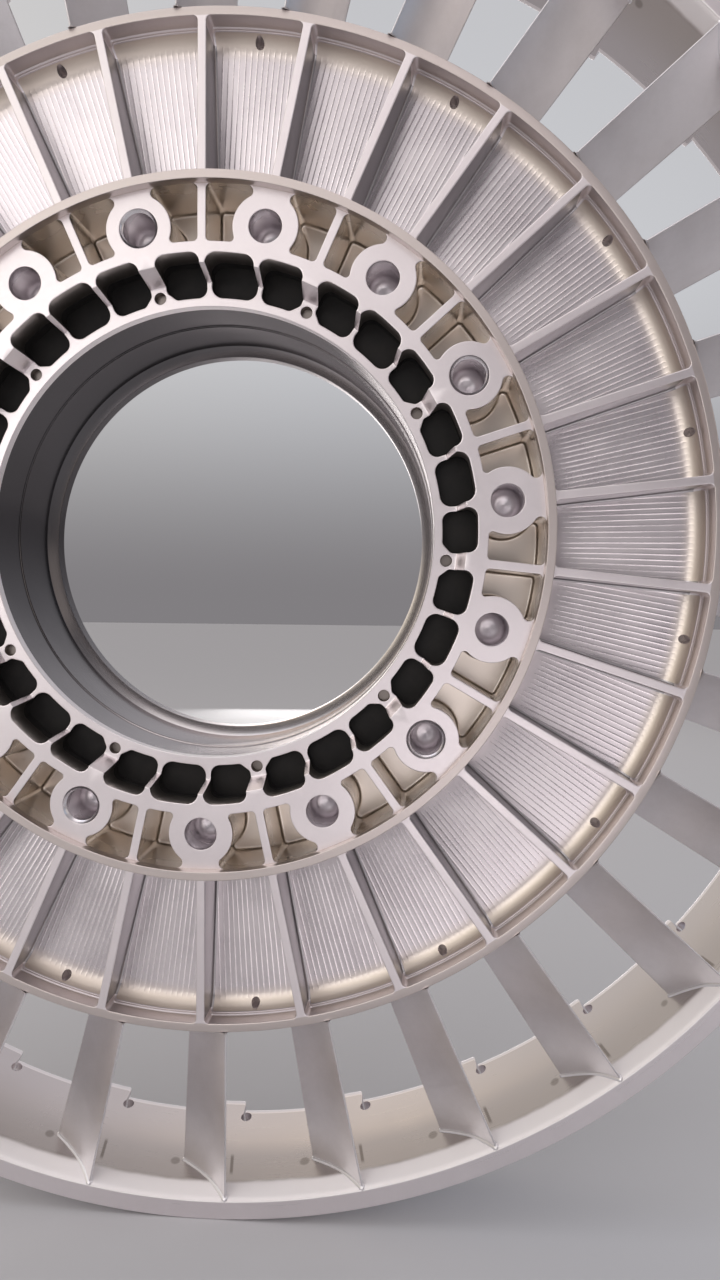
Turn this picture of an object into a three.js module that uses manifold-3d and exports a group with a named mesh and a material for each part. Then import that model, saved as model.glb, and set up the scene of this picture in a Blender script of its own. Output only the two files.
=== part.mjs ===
// A vaned wheel of machined aluminium, 800 mm across, at its real size in millimetres.
// A slotted and bossed hub carries a disc with an outer rim. Thirty spokes cross the disc as ribs, pass
// through notches in the rim, and reach the outer ring as vanes.
// Sizes are worked out in the wheel's own frame: x right, y up, z along the axis towards the front.
// The finished wheel stands upright: its axis is Y, its front faces -Y, and +Z is up.
// The origin is on the axis, in the plane of the flat rear face of the boss ring.

import * as THREE from 'three';
import { mergeVertices } from 'three/addons/utils/BufferGeometryUtils.js';
import Module from 'manifold-3d';

// Driving dimensions, in millimetres and degrees.
const GAP = 0.3;
const FRONT = 52.5;
const REAR = -58.5;
const RIM_SEGMENTS = 120;
const HUB_SEGMENTS = 60;

const RING_OUTER_RADIUS = 400;
const RING_MOUTH_RADIUS = 389;
const RING_TAPER = 0.248;
const RING_WALL = 7;
const RING_FLANGE = 14;
const RING_DEPTH = 66.1;
const TAB_HEIGHT = 7.6;
const TAB_START = -1.5;
const TAB_END = 2;

const SPOKE_COUNT = 30;
const SPOKE_PITCH = 360 / SPOKE_COUNT;
const SPOKE_FIRST = 90;
const VANE_FRONT_OFFSET = 14.2;
const VANE_FRONT_DEPTH = 1;
const VANE_CHORD = 38.8;
const VANE_CAMBER = 1.9;
const VANE_THICKNESS = 2.6;
const VANE_EDGE = 1.2;
const VANE_TIP_ANGLE = 38;
const VANE_ROOT_ANGLE = 45.2;
const VANE_STATIONS = 6;

const RIM_OUTER_RADIUS = 288.4;
const RIM_INNER_RADIUS = 283.5;
const RIB_THICKNESS = 4.9;
const NOTCH_DEPTH = 30;
const POCKET_INNER_DEPTH = 31;
const POCKET_OUTER_DEPTH = 20;
const POCKET_FOOT_RADIUS = 278.5;
const POCKET_EDGE_DEPTH = 13;
const DISC_FLOOR = 6;
const EDGE_HOLE_COUNT = 15;
const EDGE_HOLE_FIRST = 84;
const EDGE_HOLE_RADIUS = 2.4;
const EDGE_HOLE_DEPTH = 5;
const EDGE_HOLE_CIRCLE = 278.6;

const MIDDLE_OUTER_RADIUS = 198;
const MIDDLE_INNER_RADIUS = 193;
const MIDDLE_PROUD = 6;

const BOSS_COUNT = 15;
const BOSS_FIRST = 102;
const BOSS_CIRCLE = 172.5;
const BOSS_RADIUS = 18.6;
const BOSS_HOLE_RADIUS = 9.3;
const BOSS_WIDE_HOLE_RADIUS = 10.9;
const BOSS_HOLE_DEPTH = 27;
const BOSS_HOLE_CONE = 4;
const BOSS_NECK_HALF = 10.2;
const BOSS_FOOT_HALF = 16.2;
const WEB_FIRST = 90;
const WEB_THICKNESS = 4.9;
const HUB_POCKET_DEPTH = 40;

const LAND_OUTER_RADIUS = 161.5;
const LAND_INNER_RADIUS = 149.6;
const RECESS_RADIUS = 145.1;
const RECESS_DEPTH = 19.2;
const SLOT_PLATE = 6;
const SLOT_INNER_RADIUS = 136.4;
const SLOT_OUTER_RADIUS = 155.6;
const SLOT_GROUPS = 10;
const SLOT_GROUP_FIRST = 120;
const SLOT_CORNER = 6.4;
const SLOT_CHAMFER = 5;
const MIDDLE_SLOT_HALF_ANGLE = 5.35;
const SIDE_SLOT_START = 6.55;
const SIDE_SLOT_END = 16.1;
const SMALL_HOLE_RADIUS = 3.4;
const SMALL_HOLE_DEPTH = 4.5;
const SMALL_HOLE_CIRCLE = 139.3;

const BORE_RADIUS = 131.5;
const BORE_STEP_DEPTH = 56.5;
const BORE_STEP_RADIUS = 130.7;
const SLEEVE_OUTER_RADIUS = 136.1;
const LIP_RADIUS = 124.4;
const LIP_START_DEPTH = 97;
const LIP_CHAMFER = 4.7;
const DRUM_WALL = 3.5;
const COVER_THICKNESS = 6;
const COVER_FRONT = -40;

// Heights that follow from the sizes above.
const RECESS_FLOOR = FRONT - RECESS_DEPTH;
const SLOT_PLATE_BACK = RECESS_FLOOR - SLOT_PLATE;
const RING_BACK = FRONT - RING_DEPTH;
const HUB_FLOOR = FRONT - HUB_POCKET_DEPTH;
const NOTCH_FLOOR = FRONT - NOTCH_DEPTH;
const OVERSHOOT = 5;

const radians = THREE.MathUtils.degToRad;

const wasm = await Module();
wasm.setup();

// A closed solid from a three.js geometry whose shared vertices are merged.
function solidOf(geometry) {
  const bare = geometry.index ? geometry.toNonIndexed() : geometry.clone();
  bare.deleteAttribute('normal');
  bare.deleteAttribute('uv');
  const merged = mergeVertices(bare, 1e-4);
  return new wasm.Manifold(new wasm.Mesh({
    numProp: 3,
    vertProperties: new Float32Array(merged.attributes.position.array),
    triVerts: new Uint32Array(merged.index.array),
  }));
}

function geometryOf(solid) {
  const { vertProperties, triVerts } = solid.getMesh();
  const geometry = new THREE.BufferGeometry();
  geometry.setAttribute('position', new THREE.BufferAttribute(vertProperties, 3));
  geometry.setIndex(new THREE.BufferAttribute(triVerts, 1));
  geometry.computeVertexNormals();
  return geometry;
}

// A ring turned about the wheel's axis. The profile is a closed loop of [radius, height] points,
// listed from the inner rear corner outwards and round to the front.
function turned(profile, segments) {
  const loop = [...profile, profile[0]].map(([radius, height]) => new THREE.Vector2(radius, height));
  return new THREE.LatheGeometry(loop, segments).rotateX(Math.PI / 2);
}

function prism(outline, low, high) {
  const shape = new THREE.Shape(outline);
  return new THREE.ExtrudeGeometry(shape, { depth: high - low, bevelEnabled: false }).translate(0, 0, low);
}

function polar(radius, degrees) {
  return new THREE.Vector2(radius * Math.cos(radians(degrees)), radius * Math.sin(radians(degrees)));
}

// A closed outline whose corners are rounded. Each corner is [point, radius].
function rounded(corners, steps = 3) {
  const outline = [];
  corners.forEach(([point, radius], index) => {
    const before = corners[(index + corners.length - 1) % corners.length][0].clone().sub(point).normalize();
    const after = corners[(index + 1) % corners.length][0].clone().sub(point).normalize();
    const half = Math.acos(THREE.MathUtils.clamp(before.dot(after), -1, 1)) / 2;
    const centre = before.clone().add(after).normalize().multiplyScalar(radius / Math.sin(half)).add(point);
    const from = point.clone().addScaledVector(before, radius / Math.tan(half)).sub(centre);
    const to = point.clone().addScaledVector(after, radius / Math.tan(half)).sub(centre);
    const sweep = Math.atan2(from.cross(to), from.dot(to));
    for (let step = 0; step <= steps; step += 1) {
      outline.push(from.clone().rotateAround(new THREE.Vector2(), (sweep * step) / steps).add(centre));
    }
  });
  return outline;
}

// Copies of a geometry built at angle 0, turned to evenly spaced angles.
function around(geometry, count, first) {
  return Array.from({ length: count }, (_, index) => (
    solidOf(geometry.clone().rotateZ(radians(first + (index * 360) / count)))
  ));
}

function joined(solids) {
  return solids.reduce((total, solid) => total.add(solid));
}

// The wall of the outer ring leans inwards towards the rear.
function ringInnerRadius(height) {
  return RING_MOUTH_RADIUS - RING_TAPER * (FRONT - height);
}

function sector(innerRadius, outerRadius, start, end) {
  return [
    polar(innerRadius, start),
    polar(outerRadius, start),
    polar(outerRadius, end),
    polar(innerRadius, end),
  ];
}

function outerRing() {
  const back = RING_BACK - TAB_HEIGHT;
  const flangeBack = FRONT - RING_FLANGE;
  const profile = [
    [ringInnerRadius(back), back],
    [ringInnerRadius(back) + RING_WALL, back],
    [ringInnerRadius(flangeBack) + RING_WALL, flangeBack - RING_WALL / 2],
    [RING_OUTER_RADIUS, flangeBack],
    [RING_OUTER_RADIUS, FRONT],
    [RING_MOUTH_RADIUS, FRONT],
  ];
  const reach = RING_OUTER_RADIUS + OVERSHOOT;
  const gapOutline = sector(ringInnerRadius(back) - 2 * OVERSHOOT, reach, TAB_END, SPOKE_PITCH + TAB_START);
  const gap = prism(gapOutline, back - OVERSHOOT, RING_BACK);
  const gaps = around(gap, SPOKE_COUNT, SPOKE_FIRST);
  return solidOf(turned(profile, RIM_SEGMENTS)).subtract(joined(gaps));
}

// A straight bar of the wheel's length at angle 0, from one radius to another.
function radialBar(halfWidth, from, to, low, high) {
  return prism([
    new THREE.Vector2(from, -halfWidth),
    new THREE.Vector2(to, -halfWidth),
    new THREE.Vector2(to, halfWidth),
    new THREE.Vector2(from, halfWidth),
  ], low, high);
}

// The rim has a notch for each spoke, open to the front.
function outerRim() {
  const rim = solidOf(turned([
    [RIM_INNER_RADIUS, RING_BACK],
    [RIM_OUTER_RADIUS, RING_BACK],
    [RIM_OUTER_RADIUS, FRONT],
    [RIM_INNER_RADIUS, FRONT],
  ], RIM_SEGMENTS));
  const reach = [RIM_INNER_RADIUS - OVERSHOOT, RIM_OUTER_RADIUS + OVERSHOOT];
  const notch = radialBar(RIB_THICKNESS / 2 + GAP, ...reach, NOTCH_FLOOR, FRONT + OVERSHOOT);
  return rim.subtract(joined(around(notch, SPOKE_COUNT, SPOKE_FIRST)));
}

function middleRim() {
  return solidOf(turned([
    [MIDDLE_INNER_RADIUS, 0],
    [MIDDLE_OUTER_RADIUS, 0],
    [MIDDLE_OUTER_RADIUS, FRONT + MIDDLE_PROUD],
    [MIDDLE_INNER_RADIUS, FRONT + MIDDLE_PROUD],
  ], HUB_SEGMENTS));
}

// A drill for a blind hole at angle 0. It reaches from the hole's bottom to above the face.
function drill(radius, circle, face, depth) {
  const length = depth + OVERSHOOT;
  const cylinder = new THREE.CylinderGeometry(radius, radius, length, 12);
  return cylinder.rotateX(Math.PI / 2).translate(circle, 0, face - depth + length / 2);
}

// The front of the disc's floor as [radius, height] points, raised by a lift. It slopes forwards as it goes
// outwards and ends in a steep foot at the rim.
function pocketFloor(inner, outer, lift) {
  return [
    [inner, FRONT - POCKET_INNER_DEPTH + lift],
    [POCKET_FOOT_RADIUS, FRONT - POCKET_OUTER_DEPTH + lift],
    [outer, FRONT - POCKET_EDGE_DEPTH + lift],
  ];
}

// The floor between the two rims, with a small blind hole at the outer edge of every second pocket.
function discFloor() {
  const inner = MIDDLE_OUTER_RADIUS + GAP;
  const outer = RIM_INNER_RADIUS - GAP;
  const plate = [
    [inner, FRONT - POCKET_INNER_DEPTH - DISC_FLOOR],
    [outer, FRONT - POCKET_OUTER_DEPTH - DISC_FLOOR],
    ...pocketFloor(inner, outer, 0).reverse(),
  ];
  const footHeight = FRONT - POCKET_OUTER_DEPTH;
  const edgeDrill = drill(EDGE_HOLE_RADIUS, EDGE_HOLE_CIRCLE, footHeight, EDGE_HOLE_DEPTH);
  const holes = around(edgeDrill, EDGE_HOLE_COUNT, EDGE_HOLE_FIRST);
  return solidOf(turned(plate, RIM_SEGMENTS)).subtract(joined(holes));
}

// A blind bolt hole with a drilled cone at its bottom, along z at the origin.
function boltHole(radius) {
  const bottom = FRONT - BOSS_HOLE_DEPTH;
  const profile = [
    new THREE.Vector2(0, bottom - BOSS_HOLE_CONE),
    new THREE.Vector2(radius, bottom),
    new THREE.Vector2(radius, FRONT + OVERSHOOT),
    new THREE.Vector2(0, FRONT + OVERSHOOT),
  ];
  return new THREE.LatheGeometry(profile, 16).rotateX(Math.PI / 2);
}

// Fifteen drilled bosses and fifteen thin webs standing on a thick floor.
function bossRing() {
  const inner = LAND_OUTER_RADIUS + GAP;
  const outer = MIDDLE_INNER_RADIUS - GAP;
  const band = solidOf(turned([[inner, 0], [outer, 0], [outer, FRONT], [inner, FRONT]], HUB_SEGMENTS));
  const base = [[inner, 0], [outer, 0], [outer, HUB_FLOOR], [inner, HUB_FLOOR]];
  const floor = solidOf(turned(base, HUB_SEGMENTS));
  const low = HUB_FLOOR - 1;
  const pad = new THREE.CylinderGeometry(BOSS_RADIUS, BOSS_RADIUS, FRONT - low, 24);
  pad.rotateX(Math.PI / 2).translate(BOSS_CIRCLE, 0, (FRONT + low) / 2);
  const bar = (halfWidth, from, to) => radialBar(halfWidth, from, to, low, FRONT);
  const reach = [inner - OVERSHOOT, outer + OVERSHOOT];
  const standing = joined([
    ...around(pad, BOSS_COUNT, BOSS_FIRST),
    ...around(bar(BOSS_FOOT_HALF, reach[0], BOSS_CIRCLE - BOSS_FOOT_HALF / 2), BOSS_COUNT, BOSS_FIRST),
    ...around(bar(BOSS_NECK_HALF, BOSS_CIRCLE, reach[1]), BOSS_COUNT, BOSS_FIRST),
    ...around(bar(WEB_THICKNESS / 2, ...reach), BOSS_COUNT, WEB_FIRST),
  ]);
  const wideHole = boltHole(BOSS_WIDE_HOLE_RADIUS).translate(BOSS_CIRCLE, 0, 0);
  const hole = boltHole(BOSS_HOLE_RADIUS).translate(BOSS_CIRCLE, 0, 0);
  const pitch = 360 / BOSS_COUNT;
  const wideCount = BOSS_COUNT / 3;
  const holes = joined([
    ...around(wideHole, wideCount, BOSS_FIRST),
    ...around(hole, wideCount, BOSS_FIRST + pitch),
    ...around(hole, wideCount, BOSS_FIRST + 2 * pitch),
  ]);
  return floor.add(band.intersect(standing)).subtract(holes);
}

// One group of three slots, centred on angle 0. The side slots lose the corner by the small hole.
function slotOutlines() {
  const middle = rounded([
    [polar(SLOT_INNER_RADIUS, -MIDDLE_SLOT_HALF_ANGLE), SLOT_CORNER],
    [polar(SLOT_OUTER_RADIUS, -MIDDLE_SLOT_HALF_ANGLE), SLOT_CORNER],
    [polar(SLOT_OUTER_RADIUS, MIDDLE_SLOT_HALF_ANGLE), SLOT_CORNER],
    [polar(SLOT_INNER_RADIUS, MIDDLE_SLOT_HALF_ANGLE), SLOT_CORNER],
  ]);
  const chamferAngle = SIDE_SLOT_END - THREE.MathUtils.radToDeg(SLOT_CHAMFER / SLOT_INNER_RADIUS);
  const side = [
    [polar(SLOT_INNER_RADIUS, SIDE_SLOT_START), SLOT_CORNER - 1],
    [polar(SLOT_INNER_RADIUS, chamferAngle), SLOT_CORNER / 2],
    [polar(SLOT_INNER_RADIUS + SLOT_CHAMFER, SIDE_SLOT_END), SLOT_CORNER / 2],
    [polar(SLOT_OUTER_RADIUS, SIDE_SLOT_END), SLOT_CORNER - 1],
    [polar(SLOT_OUTER_RADIUS, SIDE_SLOT_START), SLOT_CORNER - 1],
  ];
  const mirrored = side.map(([point, radius]) => [new THREE.Vector2(point.x, -point.y), radius]).reverse();
  return [middle, rounded(side), rounded(mirrored)];
}

function slottedRing() {
  const blank = solidOf(turned([
    [BORE_RADIUS, SLOT_PLATE_BACK],
    [LAND_OUTER_RADIUS, SLOT_PLATE_BACK],
    [LAND_OUTER_RADIUS, FRONT],
    [LAND_INNER_RADIUS, FRONT],
    [RECESS_RADIUS, RECESS_FLOOR],
    [BORE_RADIUS, RECESS_FLOOR],
  ], HUB_SEGMENTS));
  const low = SLOT_PLATE_BACK - OVERSHOOT;
  const slots = slotOutlines().flatMap((outline) => (
    around(prism(outline, low, FRONT + OVERSHOOT), SLOT_GROUPS, SLOT_GROUP_FIRST)
  ));
  const smallDrill = drill(SMALL_HOLE_RADIUS, SMALL_HOLE_CIRCLE, RECESS_FLOOR, SMALL_HOLE_DEPTH);
  const holes = around(smallDrill, SLOT_GROUPS, SLOT_GROUP_FIRST + 180 / SLOT_GROUPS);
  return blank.subtract(joined(slots)).subtract(joined(holes));
}

function boreSleeve() {
  const stepHeight = FRONT - BORE_STEP_DEPTH;
  const lipHeight = FRONT - LIP_START_DEPTH;
  return solidOf(turned([
    [LIP_RADIUS, REAR],
    [SLEEVE_OUTER_RADIUS, REAR],
    [SLEEVE_OUTER_RADIUS, SLOT_PLATE_BACK],
    [BORE_RADIUS, SLOT_PLATE_BACK],
    [BORE_RADIUS, stepHeight],
    [BORE_STEP_RADIUS, stepHeight],
    [BORE_STEP_RADIUS, lipHeight],
    [LIP_RADIUS, lipHeight - LIP_CHAMFER],
  ], HUB_SEGMENTS));
}

function hubDrum() {
  const back = COVER_FRONT - COVER_THICKNESS;
  return solidOf(turned([
    [LAND_OUTER_RADIUS - DRUM_WALL, back],
    [LAND_OUTER_RADIUS, back],
    [LAND_OUTER_RADIUS, SLOT_PLATE_BACK],
    [LAND_OUTER_RADIUS - DRUM_WALL, SLOT_PLATE_BACK],
  ], HUB_SEGMENTS));
}

function rearCover() {
  const inner = SLEEVE_OUTER_RADIUS + GAP;
  const outer = LAND_OUTER_RADIUS - DRUM_WALL - GAP;
  const back = COVER_FRONT - COVER_THICKNESS;
  const plate = [[inner, back], [outer, back], [outer, COVER_FRONT], [inner, COVER_FRONT]];
  return solidOf(turned(plate, HUB_SEGMENTS));
}

// The section of a vane at its tip, as [across, depth] points. The concave face looks to the front.
function vaneSection() {
  const along = new THREE.Vector2(-Math.cos(radians(VANE_TIP_ANGLE)), Math.sin(radians(VANE_TIP_ANGLE)));
  const away = new THREE.Vector2(along.y, -along.x);
  const start = new THREE.Vector2(VANE_FRONT_OFFSET, VANE_FRONT_DEPTH);
  const station = (share, backFace) => {
    const bow = 4 * share * (1 - share);
    const thickness = backFace ? VANE_EDGE + (VANE_THICKNESS - VANE_EDGE) * Math.sqrt(bow) : 0;
    return start.clone()
      .addScaledVector(along, share * VANE_CHORD)
      .addScaledVector(away, VANE_CAMBER * bow + thickness);
  };
  const shares = Array.from({ length: VANE_STATIONS + 1 }, (_, index) => index / VANE_STATIONS);
  return [
    ...shares.map((share) => station(share, false)),
    ...shares.reverse().map((share) => station(share, true)),
  ];
}

// The blade of a spoke at angle 0, too long at both ends. Its length runs along x, and it twists about its
// front edge.
function bladeBlank(from, to) {
  const outline = vaneSection().map(([across, depth]) => new THREE.Vector2(across, FRONT - depth));
  const length = to - from;
  const geometry = prism(outline, 0, length);
  const twist = radians(VANE_ROOT_ANGLE - VANE_TIP_ANGLE);
  const edge = new THREE.Vector2(VANE_FRONT_OFFSET, FRONT - VANE_FRONT_DEPTH);
  const position = geometry.attributes.position;
  for (let index = 0; index < position.count; index += 1) {
    const point = new THREE.Vector2(position.getX(index), position.getY(index));
    point.rotateAround(edge, twist * (1 - position.getZ(index) / length));
    position.setXY(index, point.x, point.y);
  }
  const frame = new THREE.Matrix4().makeBasis(
    new THREE.Vector3(0, 1, 0),
    new THREE.Vector3(0, 0, 1),
    new THREE.Vector3(1, 0, 0),
  );
  return geometry.applyMatrix4(frame).translate(from, 0, 0);
}

// A spoke at angle 0: a rib that crosses the disc and fills its notch in the rim, and the vane beyond.
function spoke() {
  const inner = MIDDLE_OUTER_RADIUS + GAP;
  const ribEnd = RIM_OUTER_RADIUS + 2 * GAP;
  const low = FRONT - POCKET_INNER_DEPTH;
  const bar = radialBar(RIB_THICKNESS / 2, inner - OVERSHOOT, ribEnd + OVERSHOOT, low, FRONT);
  const ribReach = [
    ...pocketFloor(inner, RIM_INNER_RADIUS - GAP, GAP),
    [RIM_INNER_RADIUS, FRONT - POCKET_EDGE_DEPTH + GAP],
    [RIM_INNER_RADIUS, NOTCH_FLOOR],
    [ribEnd, NOTCH_FLOOR],
    [ribEnd, FRONT],
    [inner, FRONT],
  ];
  const rib = solidOf(bar).intersect(solidOf(turned(ribReach, RIM_SEGMENTS)));
  const vaneStart = RIM_OUTER_RADIUS + GAP;
  const passage = turned([
    [vaneStart, RING_BACK],
    [ringInnerRadius(RING_BACK) - GAP, RING_BACK],
    [RING_MOUTH_RADIUS - GAP, FRONT],
    [vaneStart, FRONT],
  ], RIM_SEGMENTS);
  const blade = bladeBlank(vaneStart - OVERSHOOT, RING_MOUTH_RADIUS + OVERSHOOT);
  return rib.add(solidOf(blade).intersect(solidOf(passage)));
}

const FINISHES = {
  face: { color: 0xd3cfd0, roughness: 0.38, metalness: 0.9 },
  disc: { color: 0xbdb8be, roughness: 0.42, metalness: 0.9 },
  hub: { color: 0xcbc6c6, roughness: 0.4, metalness: 0.9 },
  bore: { color: 0x8b8a90, roughness: 0.3, metalness: 0.95 },
  inside: { color: 0x4a4746, roughness: 0.6, metalness: 0.8 },
  vane: { color: 0xb4aeac, roughness: 0.45, metalness: 0.9 },
};

const wheel = new THREE.Group();
wheel.rotation.x = Math.PI / 2;

function place(name, geometry, finish) {
  const mesh = new THREE.Mesh(geometry, new THREE.MeshStandardMaterial(FINISHES[finish]));
  mesh.name = name;
  wheel.add(mesh);
  return mesh;
}

place('outer_ring', geometryOf(outerRing()), 'face');
place('outer_rim', geometryOf(outerRim()), 'face');
place('disc_floor', geometryOf(discFloor()), 'disc');
place('middle_rim', geometryOf(middleRim()), 'face');
place('boss_ring', geometryOf(bossRing()), 'hub');
place('slotted_ring', geometryOf(slottedRing()), 'hub');
place('bore_sleeve', geometryOf(boreSleeve()), 'bore');
place('hub_drum', geometryOf(hubDrum()), 'inside');
place('rear_cover', geometryOf(rearCover()), 'inside');

const spokeGeometry = geometryOf(spoke());
for (let index = 0; index < SPOKE_COUNT; index += 1) {
  const number = String(index + 1).padStart(2, '0');
  const copy = place(`spoke_${number}`, spokeGeometry.clone(), 'vane');
  copy.rotation.z = radians(SPOKE_FIRST + index * SPOKE_PITCH);
}

export default wheel;
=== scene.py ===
"""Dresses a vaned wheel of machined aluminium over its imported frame.

The wheel stands upright: its axis is Y, its front faces -Y and +Z is up. Sizes are in metres. Depth is
measured back from the plane of the boss faces, and angles run anticlockwise from +X as seen from the front.
"""
import logging
from dataclasses import dataclass, field
from enum import Enum
from math import atan2, ceil, cos, degrees, pi, radians, sin, sqrt, tau
from typing import Callable, Iterable, Sequence

import bpy
import numpy as np
from mathutils import Matrix, Vector
from mathutils.geometry import delaunay_2d_cdt


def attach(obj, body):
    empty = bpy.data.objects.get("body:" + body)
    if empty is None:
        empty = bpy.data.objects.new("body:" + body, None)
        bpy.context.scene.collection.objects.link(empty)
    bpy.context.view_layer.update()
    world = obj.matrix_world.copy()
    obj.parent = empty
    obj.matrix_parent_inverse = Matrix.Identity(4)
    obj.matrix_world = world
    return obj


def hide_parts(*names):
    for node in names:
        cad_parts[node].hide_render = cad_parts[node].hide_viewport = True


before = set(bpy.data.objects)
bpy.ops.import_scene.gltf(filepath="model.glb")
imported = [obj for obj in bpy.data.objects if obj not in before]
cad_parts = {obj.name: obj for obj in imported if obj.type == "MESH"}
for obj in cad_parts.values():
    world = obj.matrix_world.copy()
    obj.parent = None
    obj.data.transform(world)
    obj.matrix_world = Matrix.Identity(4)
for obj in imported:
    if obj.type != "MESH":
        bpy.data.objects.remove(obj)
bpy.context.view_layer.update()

log = logging.getLogger("wheel")

FRONT_PLANE = -0.0525
SPOKE_COUNT = 30
SPOKE_FIRST = 90.0
SPOKE_PITCH = 360.0 / SPOKE_COUNT
CORNER_STEP = 0.0006
FINE_COLUMNS = 720
CRISP_ANGLE = 34.0
MARGIN = 0.0003

Loop = np.ndarray
Colour = tuple[float, float, float]


# Outlines in the plane of the wheel's face.


def polar(radius: float, angle: float) -> np.ndarray:
    """The point at a radius and an angle in degrees."""
    return np.array([radius * cos(radians(angle)), radius * sin(radians(angle))])


def around(count: int, first: float) -> list[float]:
    """Evenly spaced angles round the wheel, in degrees."""
    return [first + index * 360 / count for index in range(count)]


def turn(points: np.ndarray, angle: float) -> np.ndarray:
    """The points turned about the wheel's axis by an angle in degrees."""
    c, s = cos(radians(angle)), sin(radians(angle))
    return points @ np.array([[c, s], [-s, c]])


@dataclass(frozen=True)
class StraightSide:
    """A straight side of an opening, which lies to the left of the heading."""

    through: tuple[float, float]
    heading: float

    def clearance(self, point: np.ndarray) -> tuple[float, np.ndarray]:
        """How far a point lies inside the side, and the direction in which that grows."""
        inward = np.array([-sin(radians(self.heading)), cos(radians(self.heading))])
        return float((point - np.array(self.through)) @ inward), inward

    def between(self, start: np.ndarray, end: np.ndarray, step: float) -> list[np.ndarray]:
        """Points strictly between two points of the side, at most a step apart."""
        count = max(1, ceil(np.linalg.norm(end - start) / step))
        return [start + (end - start) * index / count for index in range(1, count)]


@dataclass(frozen=True)
class RoundSide:
    """A side of an opening that follows a circle, with the opening inside or outside that circle."""

    centre: tuple[float, float]
    radius: float
    opening_inside: bool

    def clearance(self, point: np.ndarray) -> tuple[float, np.ndarray]:
        """How far a point lies inside the side, and the direction in which that grows."""
        arm = point - np.array(self.centre)
        distance = float(np.linalg.norm(arm))
        if self.opening_inside:
            return self.radius - distance, -arm / distance
        return distance - self.radius, arm / distance

    def between(self, start: np.ndarray, end: np.ndarray, step: float) -> list[np.ndarray]:
        """Points strictly between two points of the side, at most a step apart."""
        return arc(np.array(self.centre), start, end, self.opening_inside, step)[1:-1]


Side = StraightSide | RoundSide


def arc(centre: np.ndarray, start: np.ndarray, end: np.ndarray, anticlockwise: bool,
        step: float) -> list[np.ndarray]:
    """Points on an arc, both ends included.

    Args:
        centre: The arc's centre.
        start: The first end.
        end: The second end.
        anticlockwise: The way round.
        step: The longest distance between neighbours.

    Returns:
        The points in order.
    """
    radius = float(np.linalg.norm(start - centre))
    first = atan2(*(start - centre)[::-1])
    sweep = (atan2(*(end - centre)[::-1]) - first) % tau
    if not anticlockwise:
        sweep -= tau
    count = max(1, ceil(abs(sweep) * radius / step))
    return [centre + radius * np.array([cos(first + sweep * k / count), sin(first + sweep * k / count)])
            for k in range(count + 1)]


@dataclass(frozen=True)
class Corner:
    """A rounded corner between two sides: where it is, roughly, and its radius.

    A negative radius rounds a corner of the metal that juts into the opening.
    """

    near: tuple[float, float]
    radius: float

    @classmethod
    def at(cls, distance: float, angle: float, radius: float) -> "Corner":
        """The corner near a distance from the axis and an angle in degrees."""
        return cls(tuple(polar(distance, angle)), radius)


def mirrored(loop: Loop) -> Loop:
    """The loop mirrored in the line at angle 0, anticlockwise again."""
    return (loop * np.array([1.0, -1.0]))[::-1]


def outline(sides: Sequence[Side], corners: Sequence[Corner], step: float) -> Loop:
    """A closed outline whose neighbouring sides meet in rounded corners.

    Args:
        sides: The sides, anticlockwise round the opening.
        corners: The corner after each side.
        step: The longest distance between points on the sides.

    Returns:
        The outline's points, anticlockwise.
    """
    arcs = []
    for index, corner in enumerate(corners):
        pair = sides[index], sides[(index + 1) % len(sides)]
        centre = np.array(corner.near, float)
        for _ in range(40):
            found = [side.clearance(centre) for side in pair]
            misses = np.array([corner.radius - clear for clear, _ in found])
            centre = centre + np.linalg.solve(np.array([way for _, way in found]), misses)
            if np.abs(misses).max() < 1e-12:
                break
        start, end = (centre - side.clearance(centre)[1] * corner.radius for side in pair)
        arcs.append(arc(centre, start, end, corner.radius > 0, CORNER_STEP))
    points: list[np.ndarray] = []
    for index, side in enumerate(sides):
        points += side.between(arcs[index - 1][-1], arcs[index][0], step)
        points += arcs[index]
    return np.array(points)


def inset(loop: Loop, distance: float | np.ndarray) -> Loop:
    """The loop moved inwards by a distance, point by point.

    Args:
        loop: Points, anticlockwise.
        distance: How far to move, one figure or one for each point. Negative moves outwards.

    Returns:
        The moved points.
    """
    ahead = np.roll(loop, -1, axis=0) - loop
    ahead /= np.linalg.norm(ahead, axis=1)[:, None]
    left = np.stack([-ahead[:, 1], ahead[:, 0]], axis=1)
    before = np.roll(left, 1, axis=0)
    miter = (left + before) / (1 + (left * before).sum(axis=1))[:, None]
    return loop + miter * np.broadcast_to(np.asarray(distance, float), len(loop))[:, None]


def circle(radius: float, count: int, centre: np.ndarray | None = None) -> Loop:
    """Evenly spaced points on a circle, anticlockwise."""
    angles = np.arange(count) * tau / count
    points = radius * np.stack([np.cos(angles), np.sin(angles)], axis=1)
    return points if centre is None else points + centre


def quarter(steps: int) -> list[tuple[float, float]]:
    """Sine and one-less-cosine pairs from 0 to 90 degrees, for rounding an edge."""
    return [(sin(pi / 2 * k / steps), 1 - cos(pi / 2 * k / steps)) for k in range(steps + 1)]


def from_axis(points: np.ndarray) -> np.ndarray:
    """How far each point is from the wheel's axis."""
    return np.hypot(*points.T)


def rounding(start: tuple[float, float], end: tuple[float, float], steps: int,
             radius_first: bool) -> list[tuple[float, float]]:
    """Radius and depth pairs of a quarter round that sets out along the radius or along the depth."""
    (radius, depth), (last_radius, last_depth) = start, end
    wide, deep = last_radius - radius, last_depth - depth
    if radius_first:
        return [(radius + wide * up, depth + deep * less) for up, less in quarter(steps)]
    return [(radius + wide * less, depth + deep * up) for up, less in quarter(steps)]


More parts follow.
